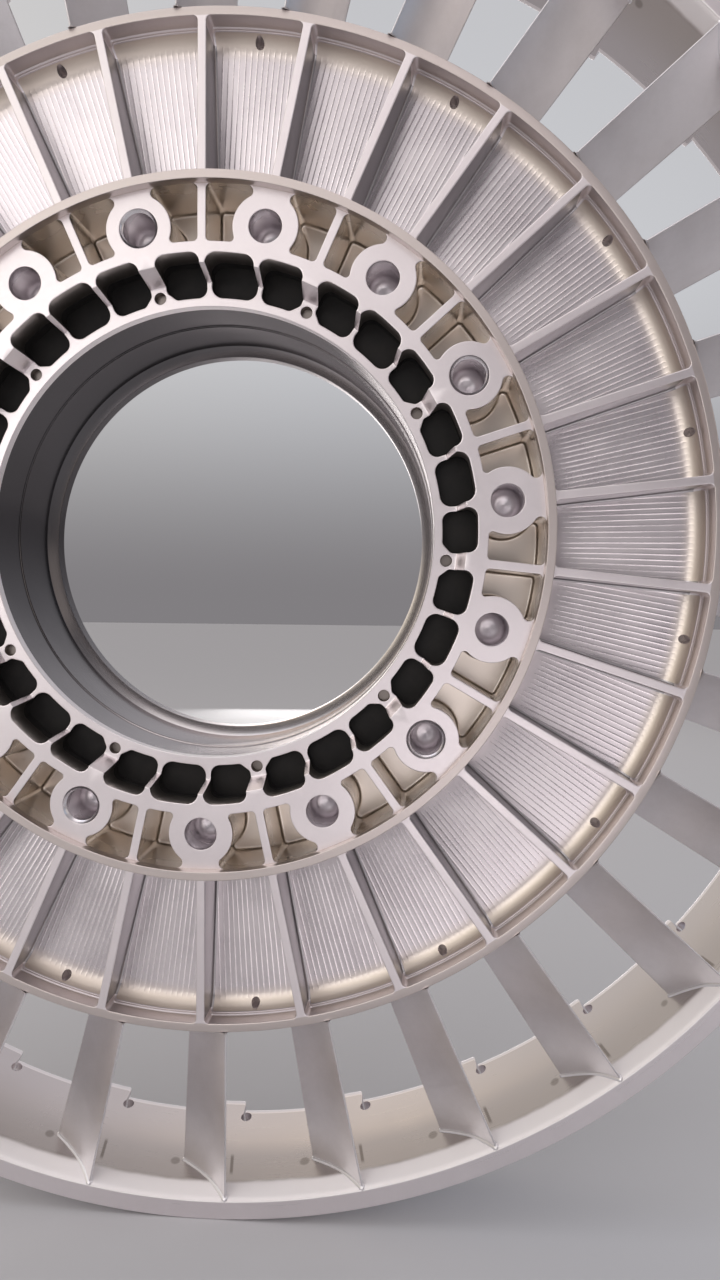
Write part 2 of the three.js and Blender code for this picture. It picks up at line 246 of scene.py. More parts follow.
def inside(points: np.ndarray, loop: Loop) -> np.ndarray:
    """Which of the points lie inside the loop.

    Args:
        points: Points to test.
        loop: A closed outline.

    Returns:
        One truth value for each point.
    """
    found = np.zeros(len(points), bool)
    low, high = loop.min(axis=0), loop.max(axis=0)
    near = np.flatnonzero(((points > low) & (points < high)).all(axis=1))
    x, z = points[near, 0], points[near, 1]
    hits = np.zeros(len(near), bool)
    for (x1, z1), (x2, z2) in zip(loop, np.roll(loop, -1, axis=0)):
        if z1 == z2:
            continue
        crosses = (z1 > z) != (z2 > z)
        hits ^= crosses & (x < (x2 - x1) * (z - z1) / (z2 - z1) + x1)
    found[near] = hits
    return found


def split_at(loop: Loop, radii: Iterable[float]) -> Loop:
    """The loop with an added point wherever it crosses a circle about the axis.

    Args:
        loop: A closed outline.
        radii: The circles' radii.

    Returns:
        The longer loop.
    """
    points = [np.array(p) for p in loop]
    for radius in radii:
        fresh: list[np.ndarray] = []
        for start, end in zip(points, points[1:] + points[:1]):
            fresh.append(start)
            a, b = np.linalg.norm(start), np.linalg.norm(end)
            if (a - radius) * (b - radius) < 0 and min(abs(a - radius), abs(b - radius)) > 1e-7:
                way = end - start
                qa, qb, qc = way @ way, 2 * start @ way, start @ start - radius ** 2
                root = sqrt(qb * qb - 4 * qa * qc)
                share = next(t for t in ((-qb - root) / (2 * qa), (-qb + root) / (2 * qa)) if 0 < t < 1)
                fresh.append(start + way * share)
        points = fresh
    return np.array(points)


# Meshes.


@dataclass
class MeshWork:
    """The vertices and faces of one piece while it is made."""

    points: list[np.ndarray] = field(default_factory=list)
    faces: list[tuple[int, ...]] = field(default_factory=list)
    finishes: list[int] = field(default_factory=list)
    count: int = 0

    def ring(self, loop: Loop, depth: float | np.ndarray) -> np.ndarray:
        """Adds a loop of vertices at one depth, or one for each, and returns their numbers."""
        deep = np.broadcast_to(np.asarray(depth, float), len(loop))
        return self.add(np.stack([loop[:, 0], FRONT_PLANE + deep, loop[:, 1]], axis=1))

    def add(self, points: np.ndarray) -> np.ndarray:
        """Adds vertices and returns their numbers."""
        numbers = np.arange(self.count, self.count + len(points))
        self.points.append(points)
        self.count += len(points)
        return numbers

    def strip(self, first: np.ndarray, second: np.ndarray, finish: int | np.ndarray = 0) -> None:
        """Joins two closed rows of equally many vertices with quads.

        Args:
            first: The row that is nearer the front on a wall that faces its axis.
            second: The other row.
            finish: The number of the faces' material, one figure or one for each face.
        """
        kinds = np.broadcast_to(finish, len(first))
        for k in range(len(first)):
            j = (k + 1) % len(first)
            self.faces.append((int(first[k]), int(first[j]), int(second[j]), int(second[k])))
            self.finishes.append(int(kinds[k]))

    def strips(self, rows: Sequence[np.ndarray], finish: int | np.ndarray = 0) -> None:
        """Joins each row to the next."""
        for first, second in zip(rows, rows[1:]):
            self.strip(first, second, finish)

    def cap(self, row: np.ndarray, finish: int = 0) -> None:
        """Closes a row with one flat face that looks to the front."""
        self.faces.append(tuple(int(k) for k in row))
        self.finishes.append(finish)

    def patch(self, numbers: np.ndarray, triangles: np.ndarray, finish: int) -> None:
        """Adds triangles, whose corners count into a list of vertices."""
        self.faces += [tuple(int(k) for k in numbers[triangle]) for triangle in triangles]
        self.finishes += [finish] * len(triangles)

    def turned(self, profile: Sequence[tuple[float, float]], count: int) -> None:
        """Adds a ring turned from a closed outline of radius and depth pairs, outside first, then inside."""
        rows = self.turned_rows(profile, count)
        self.strips(rows + rows[:1])

    def turned_rows(self, profile: Sequence[tuple[float, float]], count: int) -> list[np.ndarray]:
        """Adds a row of vertices round the axis for each radius and depth pair."""
        return [self.ring(circle(radius, count), depth) for radius, depth in profile]

    def build(self, name: str, materials: Sequence[bpy.types.Material],
              smooth_below: float = CRISP_ANGLE) -> bpy.types.Object:
        """Makes the piece.

        Args:
            name: The piece's name.
            materials: The materials, in the order of the finish numbers.
            smooth_below: Edges that turn by more than this many degrees stay crisp.

        Returns:
            The new object.
        """
        mesh = bpy.data.meshes.new(name)
        mesh.from_pydata(np.concatenate(self.points).tolist(), [], self.faces)
        for material in materials:
            mesh.materials.append(material)
        mesh.polygons.foreach_set("material_index", self.finishes)
        mesh.validate()
        mesh.shade_smooth()
        mesh.set_sharp_from_angle(angle=radians(smooth_below))
        piece = bpy.data.objects.new(name, mesh)
        bpy.context.scene.collection.objects.link(piece)
        return piece


@dataclass
class Plan:
    """Points in the plane of the face and the edges to keep, before they are triangulated."""

    points: list[np.ndarray] = field(default_factory=list)
    numbers: list[int] = field(default_factory=list)
    edges: list[tuple[int, int]] = field(default_factory=list)

    def add(self, loop: Loop, known: np.ndarray | None = None, used: np.ndarray | None = None,
            shut: np.ndarray | None = None) -> None:
        """Adds a loop's points and edges.

        Args:
            loop: The points, in order.
            known: The vertices that stand at them already, where there are any.
            used: Which points count. All do if it is left out.
            shut: Which of the edges, each from a point to the next, are left out.
        """
        used = np.ones(len(loop), bool) if used is None else used
        linked = used & np.roll(used, -1)
        if shut is not None:
            linked &= ~shut
        place = len(self.points) + np.cumsum(used) - 1
        self.points.extend(loop[used])
        self.numbers.extend([-1] * int(used.sum()) if known is None else known.tolist())
        for k in np.flatnonzero(linked):
            self.edges.append((int(place[k]), int(place[(k + 1) % len(loop)])))


@dataclass
class FaceSheet:
    """A front surface with openings in it, triangulated between its outlines."""

    inner_radius: float
    outer_radius: float
    columns: int
    height: Callable[[np.ndarray], np.ndarray] = np.zeros_like
    creases: tuple[float, ...] = ()
    openings: list[tuple[Loop, np.ndarray]] = field(default_factory=list)

    def sink(self, work: MeshWork, rim: Loop, share: float | np.ndarray,
             levels: Sequence[tuple[float, float]], lip: float, finish: int | np.ndarray,
             top: float = 0.0) -> np.ndarray:
        """Makes an opening, with its rounded lip and its walls.

        Args:
            work: The mesh that takes the faces.
            rim: The opening's outline at full size.
            share: How much of the lip's rounding the points take, from 0 to 1.
            levels: Inset and depth pairs below the lip.
            lip: The radius of the rounded lip.
            finish: The number of the walls' material, one figure or one for each point. The lip has 0.
            top: The depth of the surface at the rim.

        Returns:
            The last row of vertices.
        """
        lips = [work.ring(inset(rim, -lip * (1 - across) * share), top + lip * down)
                for across, down in quarter(3)]
        work.strips(lips)
        walls = lips[-1:] + [work.ring(inset(rim, distance), depth) for distance, depth in levels]
        work.strips(walls, finish)
        self.openings.append((inset(rim, -lip * share), lips[0]))
        return walls[-1]

    def lay(self, work: MeshWork, inner: np.ndarray, outer: np.ndarray | None, guard: float) -> None:
        """Fills the surface between its two rims and round its openings.

        Args:
            work: The mesh that takes the faces.
            inner: The vertices of the inner rim.
            outer: The vertices of the outer rim, or None where openings reach it.
            guard: The width of the narrow band that keeps the shading flat beside each edge.
        """
        plan = Plan()
        holes = [loop for loop, _ in self.openings]
        for loop, known in self.openings:
            plan.add(loop, known)
            room = np.minimum(from_axis(loop) - self.inner_radius, self.outer_radius - from_axis(loop))
            plan.add(inset(loop, -np.clip(room - 1e-5, 1e-5, guard)))
        plan.add(circle(self.inner_radius, self.columns), inner)
        rim = circle(self.outer_radius, self.columns)
        if outer is None:
            used = ~self._within(rim * (1 - 2e-4), holes)
            plan.add(rim, used=used, shut=self._within(self._middles(rim), holes))
        else:
            plan.add(rim, outer)
        for radius in self.creases:
            self._crease(plan, radius, holes)
        corners = [Vector(point) for point in plan.points]
        flat, _, triangles, origins, _, _ = delaunay_2d_cdt(corners, plan.edges, [], 0, 1e-7)
        places = np.array([tuple(p) for p in flat])
        middles = np.array([places[list(t)].mean(axis=0) for t in triangles])
        slack = 1 - cos(pi / self.columns)
        distances = from_axis(middles)
        good = (distances > self.inner_radius * (1 - slack)) & (distances < self.outer_radius)
        good &= ~self._within(middles, holes)
        known = [next((plan.numbers[o] for o in origin if plan.numbers[o] >= 0), -1) for origin in origins]
        fresh = np.flatnonzero(np.array(known) < 0)
        for index, number in zip(fresh, work.ring(places[fresh], self.height(from_axis(places[fresh])))):
            known[index] = int(number)
        work.patch(np.array(known), np.array(triangles)[good], 0)

    @staticmethod
    def _middles(ring: Loop) -> np.ndarray:
        """The middle of each edge of a loop."""
        return (ring + np.roll(ring, -1, axis=0)) / 2

    @staticmethod
    def _within(points: np.ndarray, holes: list[Loop]) -> np.ndarray:
        """Which of the points lie inside any of the holes."""
        return np.logical_or.reduce([inside(points, hole) for hole in holes])

    def _crease(self, plan: Plan, radius: float, holes: list[Loop]) -> None:
        """Adds the parts of a circle that lie on the surface, so that it can bend there."""
        angles = list(np.arange(self.columns) * tau / self.columns)
        for hole in holes:
            angles += [atan2(z, x) % tau for x, z in hole[np.abs(from_axis(hole) - radius) < 2e-7]]
        angles = sorted(angles)
        ring = radius * np.stack([np.cos(angles), np.sin(angles)], axis=1)
        buried = self._within(ring, [inset(hole, 2e-6) for hole in holes])
        plan.add(ring, used=~buried, shut=self._within(self._middles(ring), holes))


def cut(piece: bpy.types.Object, tool: bpy.types.Object) -> None:
    """Cuts a tool's shape out of a piece and drops the tool."""
    modifier = piece.modifiers.new("cut", "BOOLEAN")
    modifier.operation = "DIFFERENCE"
    modifier.solver = "EXACT"
    modifier.object = tool
    graph = bpy.context.evaluated_depsgraph_get()
    mesh = bpy.data.meshes.new_from_object(piece.evaluated_get(graph))
    piece.modifiers.clear()
    piece.data = mesh
    bpy.data.objects.remove(tool)
    mesh.set_sharp_from_angle(angle=radians(CRISP_ANGLE))


def fillet_levels(depth: float | np.ndarray, radius: float | np.ndarray, steps: int,
                  start: float | np.ndarray) -> list[tuple[float, float]]:
    """Inset and depth pairs of the rounding between a wall, at the inset start, and its floor."""
    return [(start + radius * less, depth - radius * (1 - up)) for up, less in quarter(steps)]


# Shader maths.


class Value:
    """A number socket of a node tree, on which Python's operators build Math nodes."""

    def __init__(self, tree: "Tree", socket: bpy.types.NodeSocket) -> None:
        """Keeps the tree and the socket."""
        self.tree = tree
        self.socket = socket

    def maths(self, operation: str, *terms: "float | Value") -> "Value":
        """The result of a Math node with this operation and these terms."""
        node = self.tree.node("ShaderNodeMath", {"operation": operation}, dict(enumerate(terms)))
        return Value(self.tree, node.outputs[0])

    def __add__(self, other: "float | Value") -> "Value":
        """The sum."""
        return self.maths("ADD", self, other)

    __radd__ = __add__

    def __sub__(self, other: "float | Value") -> "Value":
        """The difference."""
        return self.maths("SUBTRACT", self, other)

    def __rsub__(self, other: "float | Value") -> "Value":
        """The difference, from a number."""
        return self.maths("SUBTRACT", other, self)

    def __mul__(self, other: "float | Value") -> "Value":
        """The product."""
        return self.maths("MULTIPLY", self, other)

    __rmul__ = __mul__

    def __truediv__(self, other: "float | Value") -> "Value":
        """The quotient."""
        return self.maths("DIVIDE", self, other)

    def __rtruediv__(self, other: "float | Value") -> "Value":
        """The quotient, of a number."""
        return self.maths("DIVIDE", other, self)

    def __pow__(self, other: "float | Value") -> "Value":
        """The power."""
        return self.maths("POWER", self, other)

    def __abs__(self) -> "Value":
        """The value without its sign."""
        return self.maths("ABSOLUTE", self)

    def sine(self) -> "Value":
        """The sine, of radians."""
        return self.maths("SINE", self)

    def cosine(self) -> "Value":
        """The cosine, of radians."""
        return self.maths("COSINE", self)

    def root(self) -> "Value":
        """The square root."""
        return self.maths("SQRT", self)

    def rounded(self) -> "Value":
        """The nearest whole number."""
        return self.maths("ROUND", self)

    def fraction(self) -> "Value":
        """The part after the point."""
        return self.maths("FRACT", self)

    def step(self, start: float, end: float) -> "Value":
        """A smooth rise from 0 at start to 1 at end, which may lie below start."""
        sockets = {"Value": self, "From Min": start, "From Max": end}
        node = self.tree.node("ShaderNodeMapRange", {"interpolation_type": "SMOOTHSTEP"}, sockets)
        return Value(self.tree, node.outputs[0])


@dataclass
class Tree:
    """The node tree of one material, or of the surroundings."""

    owner: bpy.types.Material | bpy.types.World

    def __post_init__(self) -> None:
        """Empties the tree."""
        self.owner.use_nodes = True
        self.owner.node_tree.nodes.clear()

    def node(self, kind: str, settings: dict, inputs: dict) -> bpy.types.Node:
        """Adds a node.

        Args:
            kind: The node's type.
            settings: Its own settings.
            inputs: Values or links for its sockets, by name or number.

        Returns:
            The node.
        """
        made = self.owner.node_tree.nodes.new(kind)
        for name, value in settings.items():
            setattr(made, name, value)
        for name, value in inputs.items():
            socket = made.inputs[name]
            if isinstance(value, Value):
                value = value.socket
            if isinstance(value, bpy.types.NodeSocket):
                self.owner.node_tree.links.new(value, socket)
            elif isinstance(value, tuple) and socket.type == "RGBA" and len(value) == 3:
                socket.default_value = (*value, 1.0)
            else:
                socket.default_value = value
        return made

    def split(self, vector: bpy.types.NodeSocket) -> tuple[Value, Value, Value]:
        """The X, Y and Z of a vector."""
        parts = self.node("ShaderNodeSeparateXYZ", {}, {0: vector})
        return tuple(Value(self, parts.outputs[k]) for k in range(3))

    def point(self, x: "float | Value", y: "float | Value", z: "float | Value") -> bpy.types.NodeSocket:
        """A vector of three values."""
        return self.node("ShaderNodeCombineXYZ", {}, {0: x, 1: y, 2: z}).outputs[0]

    def noise(self, at: bpy.types.NodeSocket, scale: float, detail: float = 2.0,
              roughness: float = 0.5) -> Value:
        """A cloudy pattern between 0 and 1, with this many features per metre and finer layers."""
        sockets = {"Vector": at, "Scale": scale, "Detail": detail, "Roughness": roughness}
        return Value(self, self.node("ShaderNodeTexNoise", {}, sockets).outputs[0])

    def mix(self, share: "float | Value", first: "tuple | bpy.types.NodeSocket",
            second: "tuple | bpy.types.NodeSocket", blend: str = "MIX") -> bpy.types.NodeSocket:
        """Two colours mixed, with this share of the second."""
        settings = {"data_type": "RGBA", "blend_type": blend}
        return self.node("ShaderNodeMix", settings, {0: share, 6: first, 7: second}).outputs[2]

    def close(self, values: dict) -> bpy.types.Material:
        """Ends the tree in one shader with these values and links, and returns the material."""
        shader = self.node("ShaderNodeBsdfPrincipled", {}, values)
        self.node("ShaderNodeOutputMaterial", {}, {"Surface": shader.outputs[0]})
        return self.owner


# Finishes.


class Metal:
    """A metal finish in the making: its node tree, and where each point of the wheel lies."""

    def __init__(self, name: str) -> None:
        """Starts the material and works out the point's place."""
        self.tree = Tree(bpy.data.materials.new(name))
        geometry = self.tree.node("ShaderNodeNewGeometry", {}, {})
        self.x, self.y, self.z = self.tree.split(geometry.outputs["Position"])
        self.at = self.tree.point(self.x, self.y, self.z)
        self.depth = self.y - FRONT_PLANE
        self.radius = (self.x * self.x + self.z * self.z).root()

    def clouds(self, scale: float, detail: float = 4.0) -> Value:
        """A cloudy pattern with this many features per metre."""
        return self.tree.noise(self.at, scale, detail, 0.6)

    def specks(self, scale: float) -> Value:
        """A sharper pattern with this many features per metre."""
        return self.tree.noise(self.at, scale, 2.0, 0.7)

    def rings(self, pitch: float) -> Value:
        """Fine rings about the wheel's axis."""
        return self.tree.noise(self.tree.point(self.radius / pitch, self.y / pitch, 0.0), 1.0, 3.0, 0.7)

    def angle(self) -> Value:
        """The angle round the axis, in radians."""
        return self.z.maths("ARCTAN2", self.z, self.x)

    def from_nearest(self, first: float) -> tuple[Value, Value]:
        """The nearest of thirty directions, numbered from first, and the angle from it in degrees."""
        angle = self.angle() * (180 / pi)
        number = ((angle - first) / SPOKE_PITCH).rounded()
        return number, angle - (number * SPOKE_PITCH + first)

    def close(self, base: bpy.types.NodeSocket, roughness: Value, height: Value, distance: float,
              metallic: float = 1.0, tint: Colour = (1.0, 1.0, 1.0)) -> bpy.types.Material:
        """Ends the tree.

        Args:
            base: The colour.
            roughness: The roughness.
            height: The height of the fine relief, about 0 to 1.
            distance: What 1 stands for, in metres.
            metallic: How metallic the surface is.
            tint: The colour of its reflections at a grazing angle.

        Returns:
            The material.
        """
        bump = self.tree.node("ShaderNodeBump", {}, {"Height": height, "Distance": distance})
        return self.tree.close({"Metallic": metallic, "Specular Tint": tint, "Base Color": base,
                                "Roughness": roughness, "Normal": bump.outputs[0]})


class Grain(Enum):
    """The marks that a tool left on a surface."""

    TURNED = "rings about the axis"
    MILLED = "passes across a flat"
    DRESSED = "strokes out along a vane"


@dataclass(frozen=True)
class Aluminium:
    """Machined aluminium with cloudy variation and fine tool marks, and optional painted shade that darkens
    the rim faces.
    """

    name: str
    color: Colour
    shade: Colour
    roughness: float
    grain: Grain
    grain_pitch: float = 0.0009
    grain_depth: float = 0.000004
    rim_painted_shade: Colour | None = None
    rims: tuple[float, float] = (0.1955, 0.2861)

    def material(self) -> bpy.types.Material:
        """Builds the material."""
        metal, pitch = Metal(self.name), self.grain_pitch
        tree = metal.tree
        clouds, specks = metal.clouds(14.0), metal.specks(420.0)
        if self.grain is Grain.TURNED:
            marks = metal.rings(pitch)
        elif self.grain is Grain.MILLED:
            passes = tree.point(metal.x / (3 * pitch), metal.y / pitch, metal.z / pitch)
            marks = tree.noise(passes, 1.0, 3.0, 0.6)
        else:
            strokes = tree.point(metal.radius * 14.0, metal.angle() * (0.34 / pitch), metal.y / pitch)
            marks = tree.noise(strokes, 1.0, 3.0, 0.6)
        base = tree.mix(clouds.step(0.32, 0.7) * 0.7 + specks * 0.3, self.shade, self.color)
        # Painted shade: the rim faces at the listed radii are darkened towards a dimmer colour.
        if self.rim_painted_shade:
            for rim in self.rims:
                base = tree.mix(abs(metal.radius - rim).step(0.0030, 0.0024), base, self.rim_painted_shade)
        roughness = self.roughness + (marks - 0.5) * 0.16 + (clouds - 0.5) * 0.12
        return metal.close(base, roughness, marks * 0.8 + specks * 0.2, self.grain_depth)


@dataclass(frozen=True)
class MilledFloor:
    """A pocket floor with the lines that parallel cutter passes left, and a creamy painted highlight on its
    curved foot.
    """

    name: str = "milled pocket floor"
    color: Colour = (0.88, 0.82, 0.83)
    shade: Colour = (0.66, 0.61, 0.63)
    # The painted highlight's colour on the curved foot.
    foot_highlight: Colour = (0.84, 0.75, 0.66)
    roughness: float = 0.29
    pitch: float = 0.0031
    ridge: float = 0.00008
    start: float = 0.203
    end: float = 0.2785
    foot: tuple[float, float] = (0.269, 0.280)
    middle: float = 0.24
    spread: float = 0.5

    def material(self) -> bpy.types.Material:
        """Builds the material."""
        metal = Metal(self.name)
        tree, radius = metal.tree, metal.radius
        pocket, local = metal.from_nearest(SPOKE_FIRST + SPOKE_PITCH / 2)
        local = local * (pi / 180)
        across, along = radius * local.sine(), radius * local.cosine()
        wander = tree.noise(tree.point(along * 9.0, pocket * 3.7, across * 60.0), 1.0) - 0.5
        widening = (along / self.middle - 1) * self.spread + 1
        line = across / (widening * self.pitch) + wander * 0.5 + pocket * 0.37
        number = line.maths("FLOOR", line)
        comb = abs(line.fraction() * 2 - 1)
        ridge = comb ** 4
        pale = tree.noise(tree.point(number * 7.3, pocket * 5.1, along * 22.0), 1.0, 2.0, 0.6)
        ends = tree.noise(tree.point(number * 3.1, pocket * 2.3, 0.0), 1.0)
        inner_end = (along + (ends - 0.5) * 0.016).step(self.start, self.start + 0.012)
        outer_end = (radius + (comb + ends * 0.7) * 0.0012).step(self.end + 0.001, self.end)
        lines = ridge * (inner_end * outer_end * (pale.step(0.25, 0.55) * 0.5 + 0.5))
        clouds = metal.clouds(26.0)
        # Painted highlight: the curved foot of the floor next to the rim turns creamy and rougher.
        foot = radius.step(*self.foot)
        base = tree.mix(clouds.step(0.3, 0.7) * 0.5 + lines * 0.5, self.shade, self.color)
        base = tree.mix(foot, base, self.foot_highlight)
        roughness = self.roughness + (clouds - 0.5) * 0.14 - lines * 0.08 + foot * 0.16
        return metal.close(base, roughness, lines + metal.specks(600.0) * 0.04, self.ridge)


@dataclass(frozen=True)
class DepthShadedWall:
    """Milled walls with painted shade: their colour grows duller and browner with depth, where shade falls in
    a recess.
    """

    name: str = "hub pocket walls"
    color: Colour = (0.82, 0.79, 0.77)
    deep: Colour = (0.74, 0.67, 0.60)
    roughness: float = 0.26
    start: float = 0.002
    end: float = 0.026

    def material(self) -> bpy.types.Material:
        """Builds the material."""
        metal = Metal(self.name)
        clouds = metal.clouds(40.0, 3.0)
        passes = metal.tree.point(metal.x * 60.0, metal.y * 1400.0, metal.z * 60.0)
        # Painted shade: the colour moves from color towards deep as the depth grows.
        share = (metal.depth + (clouds - 0.5) * 0.010).step(self.start, self.end)
        base = metal.tree.mix(share, self.color, self.deep)
        roughness = self.roughness + (clouds - 0.5) * 0.12 + share * 0.06
        return metal.close(base, roughness, metal.tree.noise(passes, 1.0), 0.000006)


@dataclass(frozen=True)
class RingWall:
    """The outer ring's turned wall: a painted highlight at the mouth, painted shade behind it, and by every
    vane a painted shadow line and a smudge.
    """

    name: str = "ring wall"
    color: Colour = (0.98, 0.95, 0.95)
    shaded_brown: Colour = (0.54, 0.49, 0.47)
    pale: Colour = (0.64, 0.60, 0.61)
    vane_shadow_and_smudge: Colour = (0.20, 0.17, 0.15)
    roughness: float = 0.30
    mouth_dullness: float = 0.38
    mouth: float = 0.0105

    def material(self) -> bpy.types.Material:
        """Builds the material."""
        metal = Metal(self.name)
        tree, depth = metal.tree, metal.depth
        _, local = metal.from_nearest(SPOKE_FIRST)
        clouds, rings = metal.clouds(30.0), metal.rings(0.0009)
        # Painted highlight: near-white up to the mouth, then painted shade, brownish just behind the mouth
        # and paler towards the rear.
        behind = (depth + (clouds - 0.5) * 0.004).step(self.mouth - 0.001, self.mouth + 0.002)
        body = tree.mix(depth.step(0.018, 0.062), self.shaded_brown, self.pale)
        base = tree.mix(behind, self.color, body)
        # A painted shadow line slanting off each vane's front edge, and a darker smudge beside its rear
        # corner.
        shadow_line = abs(local - 2.2 + (depth - 0.018) * 23.0).step(0.20, 0.08)
        shadow_line = shadow_line * (depth.step(0.015, 0.019) * depth.step(0.033, 0.029))
        over, down = (local + 3.2) / 0.45, (depth - 0.024) / 0.003
        smudge = (over * over + down * down + (clouds - 0.5) * 1.5).step(1.2, 0.3) * 0.55
        base = tree.mix(shadow_line.maths("MAXIMUM", shadow_line * 0.75, smudge), base, self.vane_shadow_and_smudge)
        roughness = self.roughness + (rings - 0.5) * 0.14 + (clouds - 0.5) * 0.12
        roughness = roughness + (1.0 - behind) * self.mouth_dullness
        return metal.close(base, roughness, rings, 0.000004)


@dataclass(frozen=True)
class TurnedBore:
    """The turned bore, with painted light and shade: darker at the upper left, bright at the lower right, as
    the light falls.
    """

    name: str = "turned bore"
    shaded_tone: Colour = (0.14, 0.135, 0.14)
    lit_tone: Colour = (0.97, 0.92, 0.92)
    grazing: Colour = (0.62, 0.60, 0.61)
    bright_at: float = -32.0
    roughness: float = 0.22

    def material(self) -> bpy.types.Material:
        """Builds the material."""
        metal = Metal(self.name)
        cosine, sine = polar(1.0, self.bright_at).tolist()
        toward = (metal.x * cosine + metal.z * sine) / metal.radius
        rings = metal.rings(0.0007)
        # Painted shade and light: the colour runs from the darker tone on the side away from bright_at to the
        # bright tone on the side towards it.
        share = (toward + (metal.clouds(16.0) - 0.5) * 0.3 + (rings - 0.5) * 0.2).step(-0.85, 1.05)
        base = metal.tree.mix(share, self.shaded_tone, self.lit_tone)
        return metal.close(base, self.roughness + (rings - 0.5) * 0.12, rings, 0.000003, tint=self.grazing)


@dataclass(frozen=True)
class PaintedShadowInside:
    """Near-black painted shadow for the hollows inside the hub and the cover behind them."""

    name: str = "hub inside"
    color: Colour = (0.020, 0.018, 0.017)
    shade: Colour = (0.008, 0.007, 0.007)

    def material(self) -> bpy.types.Material:
        """Builds the material."""
        metal = Metal(self.name)
        clouds = metal.clouds(60.0)
        base = metal.tree.mix(clouds.step(0.3, 0.7), self.shade, self.color)
        return metal.close(base, clouds * 0.2 + 0.6, clouds, 0.00005, 0.2)


@dataclass(frozen=True)
class PaleFloor:
    """The plain pale floor that the wheel stands on."""

    name: str = "pale floor"
    color: Colour = (0.58, 0.58, 0.60)
    roughness: float = 0.8

    def material(self) -> bpy.types.Material:
        """Builds the material."""
        tree = Tree(bpy.data.materials.new(self.name))
        return tree.close({"Base Color": self.color, "Roughness": self.roughness})


@dataclass
class Paints:
    """The finishes that the pieces share, built once."""

    face: bpy.types.Material
    turned: bpy.types.Material
    floor: bpy.types.Material
    side: bpy.types.Material
    mouth: bpy.types.Material
    wall: bpy.types.Material
    hole: bpy.types.Material
    slot: bpy.types.Material
    bore: bpy.types.Material
    inside: bpy.types.Material
    vane: bpy.types.Material

    @classmethod
    def mixed(cls) -> "Paints":
        """Builds every finish."""
        finishes = {
            # The milled face gets painted shade on the rim faces.
            "face": Aluminium("milled face", (0.96, 0.90, 0.91), (0.86, 0.80, 0.81), 0.40, Grain.MILLED,
                              rim_painted_shade=(0.70, 0.63, 0.60)),
            "turned": Aluminium("turned face", (0.95, 0.89, 0.90), (0.86, 0.81, 0.82), 0.32, Grain.TURNED),
            "floor": MilledFloor(),
            # Painted shade: the sides of the ribs get a darker colour than the faces.
            "side": Aluminium("shaded rib sides", (0.52, 0.50, 0.51), (0.42, 0.40, 0.41), 0.32, Grain.TURNED),
            "mouth": RingWall(),
            # Pocket, bolt hole and slot walls darken with depth: painted shade, strongest in the slots.
            "wall": DepthShadedWall(),
            "hole": DepthShadedWall("bolt hole walls", (0.86, 0.83, 0.85), (0.70, 0.66, 0.68)),
            "slot": DepthShadedWall("slot walls", (0.75, 0.70, 0.66), (0.28, 0.25, 0.23), 0.32, 0.0, 0.0175),
            "bore": TurnedBore(),
            # Near-black painted shadow for the hollows inside the hub.
            "inside": PaintedShadowInside(),
            "vane": Aluminium("dressed vane", (0.94, 0.92, 0.94), (0.78, 0.76, 0.77), 0.38, Grain.DRESSED,
                              grain_pitch=0.0012, grain_depth=0.000005),
        }
        return cls(**{use: finish.material() for use, finish in finishes.items()})


def own(piece: bpy.types.Object, nodes: Sequence[str]) -> bpy.types.Object:
    """Ties a piece to the frame.

    Args:
        piece: The new piece.
        nodes: The solids that it stands for.

    Returns:
        The piece.
    """
    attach(piece, "root")
    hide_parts(*nodes)
    triangles = sum(len(face.vertices) - 2 for face in piece.data.polygons)
    log.info("%s: %d triangles", piece.name, triangles)
    return piece


# The wheel.


